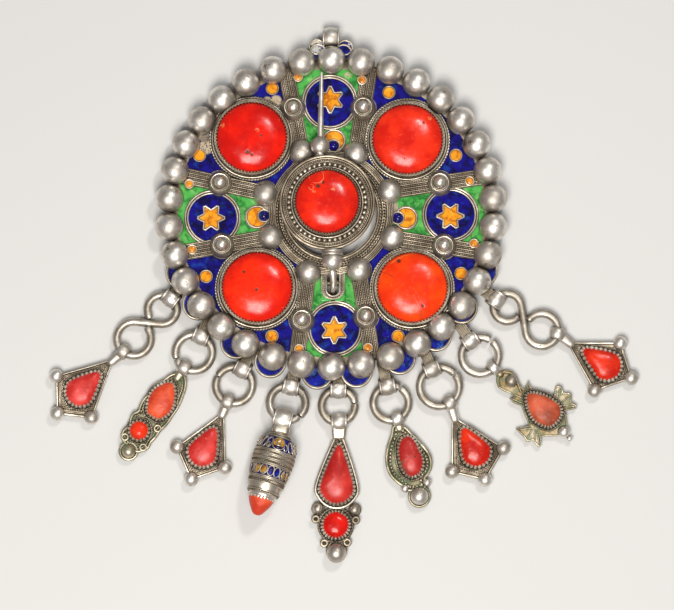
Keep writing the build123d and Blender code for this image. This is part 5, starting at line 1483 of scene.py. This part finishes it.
def corner_balls(name, spots, radius, height):
    one = ball(name + "_one", radius, None, 26, 16)
    return coated(repeated(name, one, [placing((*p, height)) for p in spots]), silver_bead)


def brightened(name, pieces, material):
    """Wires of one pendant, joined under one finish."""
    return coated(joined(name, pieces), material)


print("bails, settings and balls ready")

# %% Kites
KITES = [
    ("1", (-58.9, -39.7), 224.2,
     (15.0, 7.2), (14.0, -7.5), 20.8, (5.0, 0.1), (12.3, 0.1)),
    ("3", (-29.0, -54.0), 244.2,
     (13.2, 6.8), (13.8, -7.3), 20.0, (4.7, -0.3), (12.1, -0.4)),
    ("7", (32.7, -55.1), 297.1,
     (13.8, 8.3), (13.1, -6.9), 19.1, (4.0, 0.9), (11.4, 1.2)),
    ("9", (63.9, -35.1), 330.8,
     (12.4, 6.8), (12.5, -7.8), 19.5, (4.4, 0.3), (12.1, -0.4)),
]
for number, apex, turn, left, right, reach, tip, centre in KITES:
    def spot_on(point):
        return along(along(apex, turn, point[0]), turn + 90, point[1])

    corners = [apex, spot_on(right), spot_on((reach, 0)), spot_on(left)]
    if sum(a[0] * b[1] - b[0] * a[1] for a, b in zip(corners, corners[1:] + corners[:1])) < 0:
        corners.reverse()
    middle = (sum(c[0] for c in corners) / 4, sum(c[1] for c in corners) / 4)

    def inset(share):
        return [tuple(Vector(middle).lerp(Vector(c), share)) for c in corners]

    plate = coated(sheet_cut("kite_sheet", corners, PENDANT_BACK, PENDANT_FACE), silver_dark)
    twist_lines = []
    shape = inset(0.79)
    for a, b in zip(shape, shape[1:] + shape[:1]):
        twist_lines.append(straight(a, b, 1.88, 0.15))
    edge_wire = coated(wires("kite_edge", [lifted(corners, PENDANT_WIRE_Z)], 0.42, closed=True), silver_wire)
    plain_wires = [
        wires(
            "kite_second", [lifted(inset(share), 1.86) for share in (0.9, 0.845, 0.735, 0.67)],
            0.22, closed=True,
        ),
        wires("kite_twists", twist_lines, 0.27, 2, 1.3),
    ]
    inner_wires = brightened("kite_wires", plain_wires, silver_plait)
    frame_wires = joined("kite_frame", [edge_wire, inner_wires])
    balls = corner_balls("kite_balls", [c for c in corners if c != apex], 1.95, 1.95)
    strap, strap_xy = bail(number)
    neck_bar = bar("kite_neck", strap_xy, towards(apex, middle, 2.0), 2.9, 0.5, 3.4, 0.8, 1.25)
    coated(neck_bar, silver_bead)
    line = drop_line(spot_on(tip), spot_on(centre), 3.6, 96)
    tooth_ring = set_stone(
        "kite_coral_" + number, line, 27, coral_fire if number in "79" else coral_pink,
        ["coral_pendant_" + number], 4.7, 0.42,
    )
    kite = joined("kite_" + number, [plate, frame_wires, balls, strap, neck_bar, tooth_ring])
    finished(kite, None, "brooch", ["pendant_" + number])

# %% [markdown]
# ## The leaf pendant
# The second pendant has a long coral and a round one under it, a bright border wire, small wire
# curls and an end ball inside a ring. Its sheet is cut to the outline seen in the photograph.

# %% Leaf
LEAF_OUTLINE = [
    (-41.9, -43.2), (-43.6, -43.7), (-45.4, -45.1), (-47.6, -47.0), (-49.2, -48.6), (-50.8, -50.2),
    (-51.9, -52.4), (-52.2, -53.5), (-53.5, -54.0), (-54.4, -55.6), (-54.6, -57.2), (-56.2, -58.6),
    (-56.8, -60.2), (-56.2, -61.8), (-54.9, -63.2), (-52.7, -64.8), (-50.6, -64.5), (-49.0, -63.5),
    (-48.4, -62.1), (-47.1, -60.8), (-46.0, -59.1), (-44.1, -57.2), (-42.5, -54.8), (-41.1, -52.7),
    (-40.0, -50.2), (-39.2, -47.8), (-39.0, -45.4), (-39.8, -43.5),
]
LEAF_CORAL = [
    (-44.1, -45.8), (-42.7, -46.2), (-42.2, -47.5), (-42.2, -50.2), (-42.7, -52.9), (-44.4, -54.9),
    (-46.3, -55.9), (-48.1, -55.2), (-49.6, -54.1), (-49.6, -52.1), (-49.0, -49.7), (-47.9, -47.9),
    (-46.0, -46.6),
]
leaf_line = rounded(LEAF_OUTLINE, 120)
leaf_plate = sheet_cut("leaf_sheet", leaf_line, PENDANT_BACK, PENDANT_FACE, 0)
leaf_edge = wires("leaf_edge", [lifted(grown(leaf_line, -0.35), PENDANT_WIRE_Z)], 0.42, closed=True)
leaf_inner = wires(
    "leaf_inner", [lifted(grown(rounded(LEAF_OUTLINE, 240), -1.1), 1.98)], 0.3, 2, 1.5, closed=True
)
leaf_collar = set_stone(
    "leaf_coral", rounded(LEAF_CORAL, 96), 30, coral_orange, ["coral_pendant_2_leaf"], 4.7
)
leaf_round_collar = set_stone(
    "leaf_round_coral", circle((-51.8, -58.9), 2.55, 64), 16, coral_fire,
    ["coral_pendant_2_round"],
)
leaf_curls = wires(
    "leaf_curls",
    [arc(p, 0.85, 2.0, step=0.25) for p in ((-46.8, -58.3), (-55.6, -60.6), (-50.7, -63.4))],
    0.38, closed=True,
)
LEAF_BALL = (-54.6, -64.4)
leaf_ball = coated(corner_balls("leaf_ball", [LEAF_BALL], 1.93, 1.92), silver_green)
leaf_ball_ring = wires(
    "leaf_ball_ring", [arc(LEAF_BALL, r, z, step=0.4) for r, z in ((2.3, 1.7), (2.1, 1.1))], 0.42,
    closed=True,
)
leaf_strap, leaf_xy = bail("2")
leaf_neck = bar("leaf_neck", leaf_xy, (-42.2, -45.6), 2.9, 0.5, 3.2, 0.75, 1.2)
coated(leaf_plate, silver_mould)
leaf_wires = brightened(
    "leaf_wires", [leaf_edge, leaf_inner, leaf_curls, leaf_ball_ring, leaf_neck], silver_green
)
leaf = joined("leaf", [
    leaf_plate, leaf_wires, leaf_collar, leaf_round_collar, leaf_ball, leaf_strap,
])
finished(leaf, None, "brooch", ["pendant_2"])

# %% [markdown]
# ## The drop pendant
# The middle pendant is the largest: a long drop over a round stone, with side balls, small
# curls of wire and an end ball.

# %% Drop
DROP_APEX, DROP_CENTER, DROP_OUTER_R = (2.1, -59.2), (1.5, -74.1), 5.9
drop_outer = drop_line(DROP_APEX, DROP_CENTER, DROP_OUTER_R, 120)
drop_plate = sheet_cut("drop_sheet", drop_outer, PENDANT_BACK, PENDANT_FACE)
drop_edge = wires("drop_edge", [lifted(grown(drop_outer, -0.25), PENDANT_WIRE_Z)], 0.45, closed=True)
drop_twist = wires(
    "drop_twist", [lifted(grown(even(drop_outer, 200), -0.95), 2.0)], 0.3, 2, 1.5, closed=True
)
drop_collar = set_stone(
    "drop_coral", drop_line((2.1, -62.2), DROP_CENTER, 4.6, 96), 38, coral_worn,
    ["coral_pendant_5_drop"], 5.1,
)
ROUND_SPOT = (1.2, -84.4)
round_plate = sheet_cut("round_sheet", circle(ROUND_SPOT, 4.9, 48), PENDANT_BACK, PENDANT_FACE)
round_edge = wires("round_edge", [arc(ROUND_SPOT, 4.6, 1.9, step=0.2)], 0.42, 2, 1.5, closed=True)
round_collar = set_stone(
    "drop_round_coral", circle(ROUND_SPOT, 3.6, 64), 26, coral_bead,
    ["coral_pendant_5_round"],
)
link_plate = sheet_cut(
    "link_sheet", [(-1.0, -92.0), (3.4, -92.0), (3.4, -74.0), (-1.0, -74.0)], 0.65, 1.75
)
side_spots = [(-3.6, -79.9), (6.3, -80.2)]
side_plates = [
    sheet_cut("side_sheet", circle(p, 1.8, 24), PENDANT_BACK, SMALL_FACE) for p in side_spots
]
side_balls = coated(corner_balls("side_balls", side_spots, 1.43, PENDANT_WIRE_Z), silver_dome)
curl_spots = [(-4.2, -82.7), (6.6, -83.0), (-1.9, -89.2), (4.3, -89.0)]
curl_plates = [
    sheet_cut("curl_sheet", circle(p, 1.1, 20), PENDANT_BACK, SMALL_FACE) for p in curl_spots
]
curls = wires("drop_curls", [arc(p, 0.8, 1.95, step=0.25) for p in curl_spots], 0.42, closed=True)
end_ball = coated(corner_balls("end_ball", [(1.4, -91.9)], 2.68, 2.68), silver_dome)
end_ring = wires("end_ring", [arc((1.4, -91.2), 2.45, 1.5, step=0.4)], 0.45, closed=True)
drop_strap, drop_xy = bail("5", 4.2)
drop_neck = bar("drop_neck", drop_xy, (2.05, -61.4), 4.4, 0.5, 3.3, 0.8, 0.8)
drop_base = brightened(
    "drop_base", [drop_plate, round_plate, link_plate, *side_plates, *curl_plates], silver_dark
)
drop_wires = brightened("drop_wires", [drop_twist, round_edge, curls, end_ring], silver_plait)
drop_smooth = brightened("drop_smooth", [drop_edge, drop_neck], silver_pendant)
drop = joined("drop", [
    drop_base, drop_wires, drop_smooth, drop_collar, round_collar, side_balls, end_ball, drop_strap,
])
finished(drop, None, "brooch", ["pendant_5"])

# %% [markdown]
# ## The pear pendant
# Its coral is worn and chipped, in a plain border with a row of granules, with two small balls
# and a large end ball in a ring at its foot.

# %% Pear
PEAR_OUTLINE = [
    (16.7, -57.5), (16.1, -59.9), (15.0, -63.2), (14.6, -66.2), (14.9, -68.9), (16.0, -71.3),
    (17.7, -73.0), (19.1, -74.0), (21.0, -75.3), (25.3, -74.5), (25.4, -71.8), (26.4, -70.5),
    (27.1, -68.6), (27.0, -66.4), (26.0, -64.3), (23.9, -61.8), (21.8, -59.7), (19.8, -57.8),
]
PEAR_CORAL = [
    (19.6, -60.6), (21.2, -60.5), (22.5, -61.8), (23.7, -64.3), (24.6, -66.7), (24.6, -68.6),
    (23.7, -70.5), (22.1, -71.4), (20.4, -71.0), (19.1, -69.4), (18.4, -67.0), (18.1, -64.3),
    (18.5, -61.8),
]
pear_line = rounded(PEAR_OUTLINE, 110)
pear_plate = sheet_cut("pear_sheet", pear_line, PENDANT_BACK, PENDANT_FACE, 0)
pear_edge = wires("pear_edge", [lifted(grown(pear_line, -0.3), PENDANT_WIRE_Z)], 0.42, closed=True)
pear_row = repeated(
    "pear_row", ball("pear_granule", 0.42, None, 12, 8),
    [placing((*p, 2.05)) for p in grown(rounded(PEAR_OUTLINE, 44), -1.25)],
)
pear_collar = set_stone(
    "pear_coral", rounded(PEAR_CORAL, 96), 30, coral_chipped, ["coral_pendant_6"]
)
pear_balls = corner_balls("pear_balls", [(19.8, -74.5), (25.8, -72.9)], 1.18, 1.8)
PEAR_END = (23.7, -76.6)
pear_disc = sheet_cut("pear_disc", circle(PEAR_END, 2.8, 40), PENDANT_BACK, PENDANT_FACE)
pear_end = corner_balls("pear_end", [PEAR_END], 2.42, 2.42)
pear_ring = wires("pear_ring", [arc(PEAR_END, 2.72, 1.7, step=0.35)], 0.4, closed=True)
pear_strap, pear_xy = bail("6")
pear_neck = bar("pear_neck", pear_xy, (18.7, -59.4), 3.0, 0.5, 3.3, 0.75, 1.2)
pear_base = brightened("pear_base", [pear_plate, pear_disc], silver_mould)
pear_wires = brightened("pear_wires", [pear_edge, pear_row, pear_ring, pear_neck], silver_green)
pear = joined("pear", [pear_base, pear_wires, pear_collar, pear_balls, pear_end, pear_strap])
finished(pear, None, "brooch", ["pendant_6"])

# %% [markdown]
# ## The fish pendant
# The eighth pendant is cut like a fish, with two pairs of fins, a ball for its eye and two
# balls at its tail. Verdigris has settled on the sheet.

# %% Fish
FISH_OUTLINE = [
    (45.3, -42.7), (47.2, -42.4), (48.8, -42.9), (50.1, -44.3), (50.9, -46.4), (51.8, -47.7),
    (52.4, -47.0), (53.0, -45.5), (53.8, -47.0), (54.5, -47.8), (56.3, -48.1), (58.5, -49.1),
    (60.1, -50.0), (60.1, -48.9), (60.4, -47.0), (61.2, -46.6), (62.3, -47.2), (62.6, -48.6),
    (64.3, -48.7), (64.9, -49.5), (64.7, -51.2), (66.1, -52.0), (66.1, -52.9), (64.4, -53.2),
    (63.0, -53.5), (63.4, -55.1), (63.6, -57.2), (63.6, -59.4), (61.2, -60.3), (58.5, -60.3),
    (56.5, -60.5), (56.5, -63.0), (55.8, -63.3), (55.0, -62.4), (54.2, -61.3), (53.5, -61.8),
    (52.6, -61.8), (52.0, -60.6), (50.8, -59.4), (49.7, -58.3), (53.4, -57.5), (52.8, -56.2),
    (51.9, -54.0), (51.2, -52.1), (49.1, -51.3), (48.1, -50.2), (49.5, -49.8), (48.5, -48.9),
    (46.6, -48.1), (45.1, -47.2), (44.5, -45.6), (44.5, -44.0),
]
FISH_CORAL = [
    (52.6, -49.4), (53.9, -48.7), (56.3, -49.1), (59.0, -50.2), (61.2, -51.8), (62.0, -53.5),
    (61.6, -55.4), (60.4, -57.0), (58.8, -57.9), (56.9, -57.5), (55.0, -56.4), (53.6, -54.5),
    (52.7, -51.8),
]
fish_plate = sheet_cut("fish_sheet", list(reversed(FISH_OUTLINE)), PENDANT_BACK, PENDANT_FACE, 0)
fish_head = wires("fish_head", [lifted([
    (45.3, -47.0), (44.9, -45.4), (45.2, -43.6), (46.6, -42.9), (48.4, -43.2), (49.7, -44.6),
    (50.5, -46.6), (51.2, -48.4),
], 1.9)], 0.4)
fish_collar = set_stone("fish_coral", rounded(FISH_CORAL, 96), 34, coral_pale, ["coral_pendant_8"])
fish_balls = joined("fish_balls", [
    coated(corner_balls("fish_eye", [(48.6, -45.4)], 1.7, 1.9), silver_dome),
    corner_balls("fish_tail", [(62.7, -59.2)], 1.73, 1.73),
    corner_balls("fish_tip", [(64.2, -61.0)], 0.78, 1.7),
])
fish_strap, fish_xy = bail("8", 2.4)
fish_neck = bar("fish_neck", fish_xy, (46.4, -44.3), 2.3, 0.5, 3.0, 0.8, 1.0)
FIN_VEINS = [
    ((60.6, -51.4), (60.6, -48.4)), ((61.4, -51.0), (61.6, -47.6)), ((62.0, -51.4), (63.9, -49.6)),
    ((62.2, -52.0), (65.5, -52.4)), ((54.0, -58.2), (50.8, -58.6)), ((54.2, -58.6), (52.8, -60.9)),
    ((54.8, -58.8), (54.8, -61.6)), ((55.4, -58.8), (56.0, -62.4)), ((51.4, -51.4), (49.0, -50.4)),
    ((52.2, -50.4), (49.6, -49.2)), ((53.0, -48.8), (53.0, -46.2)),
]
fish_veins = wires("fish_veins", [straight(a, b, 1.86, 0.6) for a, b in FIN_VEINS], 0.22)
fish_rim = wires(
    "fish_rim", [lifted(grown(list(reversed(FISH_OUTLINE)), -0.2), 1.82)], 0.24, closed=True
)
fish_wires = brightened("fish_wires", [fish_head, fish_neck], silver_fish)
fish_lines = brightened("fish_lines", [fish_veins, fish_rim], silver_green)
coated(fish_plate, silver_fish)
fish = joined("fish", [fish_plate, fish_wires, fish_lines, fish_collar, fish_balls, fish_strap])
finished(fish, None, "brooch", ["pendant_8"])

# %% [markdown]
# ## The barrel pendant
# The fourth pendant is a hollow turned barrel with raised bands, enamelled cells and a cone of
# coral at its tip. It lies on its side, so its profile is turned upright and then laid down.

# %% Body of the barrel
BARREL_TOP, BARREL_TIP = Vector((-13.4, -59.9, 5.4)), Vector((-19.8, -81.0, 7.2))
BARREL_PROFILE = [
    (0.0, 2.0), (1.0, 3.2), (2.6, 4.4), (4.6, 5.2), (6.6, 5.55), (8.6, 5.5), (10.6, 5.25),
    (13.0, 4.9), (15.4, 4.6), (16.8, 4.3), (17.6, 3.6),
]
barrel_way = (BARREL_TIP - BARREL_TOP).to_track_quat("Z", "Y").to_matrix().to_4x4()
barrel_place = Matrix.Translation(BARREL_TOP * MM) @ barrel_way


def barrel_reach(distance):
    """The barrel's radius at a distance from its top, between two points of its profile."""
    for (near, low), (far, high) in zip(BARREL_PROFILE, BARREL_PROFILE[1:]):
        if near <= distance <= far:
            return low + (high - low) * (distance - near) / (far - near)
    return BARREL_PROFILE[-1][1]


barrel_shape = [(0, 0)] + [(r - 0.04, d) for d, r in BARREL_PROFILE]
barrel_shape += [(3.75, 18.1), (3.5, 18.4), (0, 18.4)]
barrel_body = turned("barrel_body", barrel_shape, 56)
band_lines, twist_lines = [], []
for distance in (0.9, 1.5, 5.6, 6.0, 6.8, 7.2, 8.0, 8.4, 9.3, 9.7, 12.9, 13.3, 14.6, 16.6):
    band_lines.append(arc((0, 0), barrel_reach(distance) + 0.02, distance, step=0.5))
for distance in (6.4, 7.6, 8.85, 13.75, 14.15, 17.05):
    twist_lines.append(arc((0, 0), barrel_reach(distance) + 0.03, distance, step=0.15))


def on_barrel(distance, turn, lift=0.06):
    """A point on the barrel at a distance from its top and a turn from its upper side."""
    reach = barrel_reach(distance) + lift
    return (reach * cos(radians(turn)), reach * sin(radians(turn)), distance)


def barrel_loop_line(distance, turn, across, deep, lift, count):
    """A closed line of some points, drawn round a place on the barrel."""
    half_turn = degrees(across / barrel_reach(distance))
    ways = [tau * k / count for k in range(count)]
    return [on_barrel(distance + deep * sin(w), turn + half_turn * cos(w), lift) for w in ways]


print("barrel:", round((BARREL_TIP - BARREL_TOP).length, 1), "mm long")

# %% Cells, rings and teeth of the barrel
upper_side = barrel_way.to_3x3().transposed() @ Vector((0, 0, 1))
FACE = degrees(atan2(upper_side.y, upper_side.x))
print("barrel's upper side at", round(FACE), "degrees")
CELL_LOOPS = [
    (3.6, -4, 1.6, 1.75, 0.2, 20), (3.6, -4, 0.55, 0.6, 0.5, 12), (3.7, 26, 0.75, 1.5, 0.1, 20),
    (3.7, 44, 0.75, 1.5, 0.1, 20), (4.2, 62, 0.5, 0.9, 0.1, 20), (4.3, 27, 0.35, 0.7, 0.1, 20),
    (11.2, 17, 0.95, 1.3, 0.2, 20), (11.2, 39, 0.95, 1.3, 0.2, 20), (11.2, -5, 0.85, 1.35, 0.1, 20),
    (11.2, -24, 0.85, 1.35, 0.1, 20), (11.2, -41, 0.6, 1.35, 0.1, 20),
]
cell_lines = [
    barrel_loop_line(distance, FACE + 90 * quarter + turn, *shape)
    for quarter in range(4) for distance, turn, *shape in CELL_LOOPS
]
barrel_rings = [
    wires("barrel_bands", band_lines, 0.25, closed=True),
    wires("barrel_cells", cell_lines, 0.17, closed=True),
]
barrel_plaits = coated(wires("barrel_twists", twist_lines, 0.25, 2, 1.1, closed=True), silver_plait)
tip_teeth = collar("barrel_teeth", circle((0, 0), 3.7, 22 * 4), 17.3, 18.1, 0.8, 0.3, 0.25)
coated(barrel_body, silver_pendant)
barrel_wires = brightened("barrel_wires", barrel_rings, silver_pendant)
coated(tip_teeth, silver_tooth)
barrel = moved(joined("barrel", [barrel_body, barrel_wires, barrel_plaits, tip_teeth]), barrel_place)
ring_centre, ring_r, loop = hangers["4"]
loop_xy = towards(ring_centre, loop, ring_r * cos(radians(tilt)))
barrel_strap = moved(
    strap_loop("barrel_strap", 2.62, 1.68, 5.0),
    placing((*loop_xy, TILTED_RING_TOP), tilted_turn + 90),
)
coated(barrel_strap, silver_bead)
barrel_neck = bar(
    "barrel_neck", along(loop_xy, tilted_turn, 1.2), along(BARREL_TOP[:2], tilted_turn, 0.8),
    4.7, 3.0, 6.9, 1.0, 1.2,
)
coated(barrel_neck, silver_pendant)
barrel = joined("barrel_dressed", [barrel, barrel_strap, barrel_neck])
finished(barrel, None, "brooch", ["pendant_4"])

# %% Enamel and coral of the barrel
zones = []
for near, far in ((1.8, 5.3), (9.8, 12.7)):
    stations = [near + (far - near) * k / 4 for k in range(5)]
    outside = [(barrel_reach(station) + 0.03, station) for station in stations]
    zones.append(turned("blue_zone", [(3.0, near), *outside, (3.0, far)], 56))
barrel_blue = moved(joined("barrel_blue", zones), barrel_place)
finished(barrel_blue, enamel_blue)


def enamel_drop(distance, turn, across, deep, high):
    """A small swollen lake of enamel on the barrel."""
    rest()
    bpy.ops.mesh.primitive_uv_sphere_add(segments=20, ring_count=12, radius=MM)
    lake = fresh("enamel_lake")
    lake.data.transform(Matrix.Diagonal((high, across, deep, 1)))
    spot_on_barrel = Vector(on_barrel(distance, turn, -0.1)) * MM
    matrix = Matrix.Translation(spot_on_barrel) @ Matrix.Rotation(radians(turn), 4, "Z")
    return moved(smoothed(lake, 80), matrix)


LAKES = [(3.6, -4, 1.5, 1.65, 0.45), (11.2, 17, 0.88, 1.25, 0.35), (11.2, 39, 0.88, 1.25, 0.35)]
lakes = [
    enamel_drop(distance, FACE + 90 * quarter + turn, *shape)
    for quarter in range(4) for distance, turn, *shape in LAKES
]
barrel_yellow = moved(joined("barrel_yellow", lakes), barrel_place)
finished(barrel_yellow, enamel_mustard, "brooch", ["enamel_barrel"])
tip_profile = [
    (0, 18.4), (3.45, 18.4), (3.4, 18.9), (2.9, 20.1), (2.2, 21.3), (1.4, 22.5), (0.8, 23.0),
    (0, 23.15),
]
barrel_coral = moved(turned("barrel_coral", tip_profile, 40, 60), barrel_place)
finished(barrel_coral, coral_orange, "brooch", ["coral_pendant_4"])
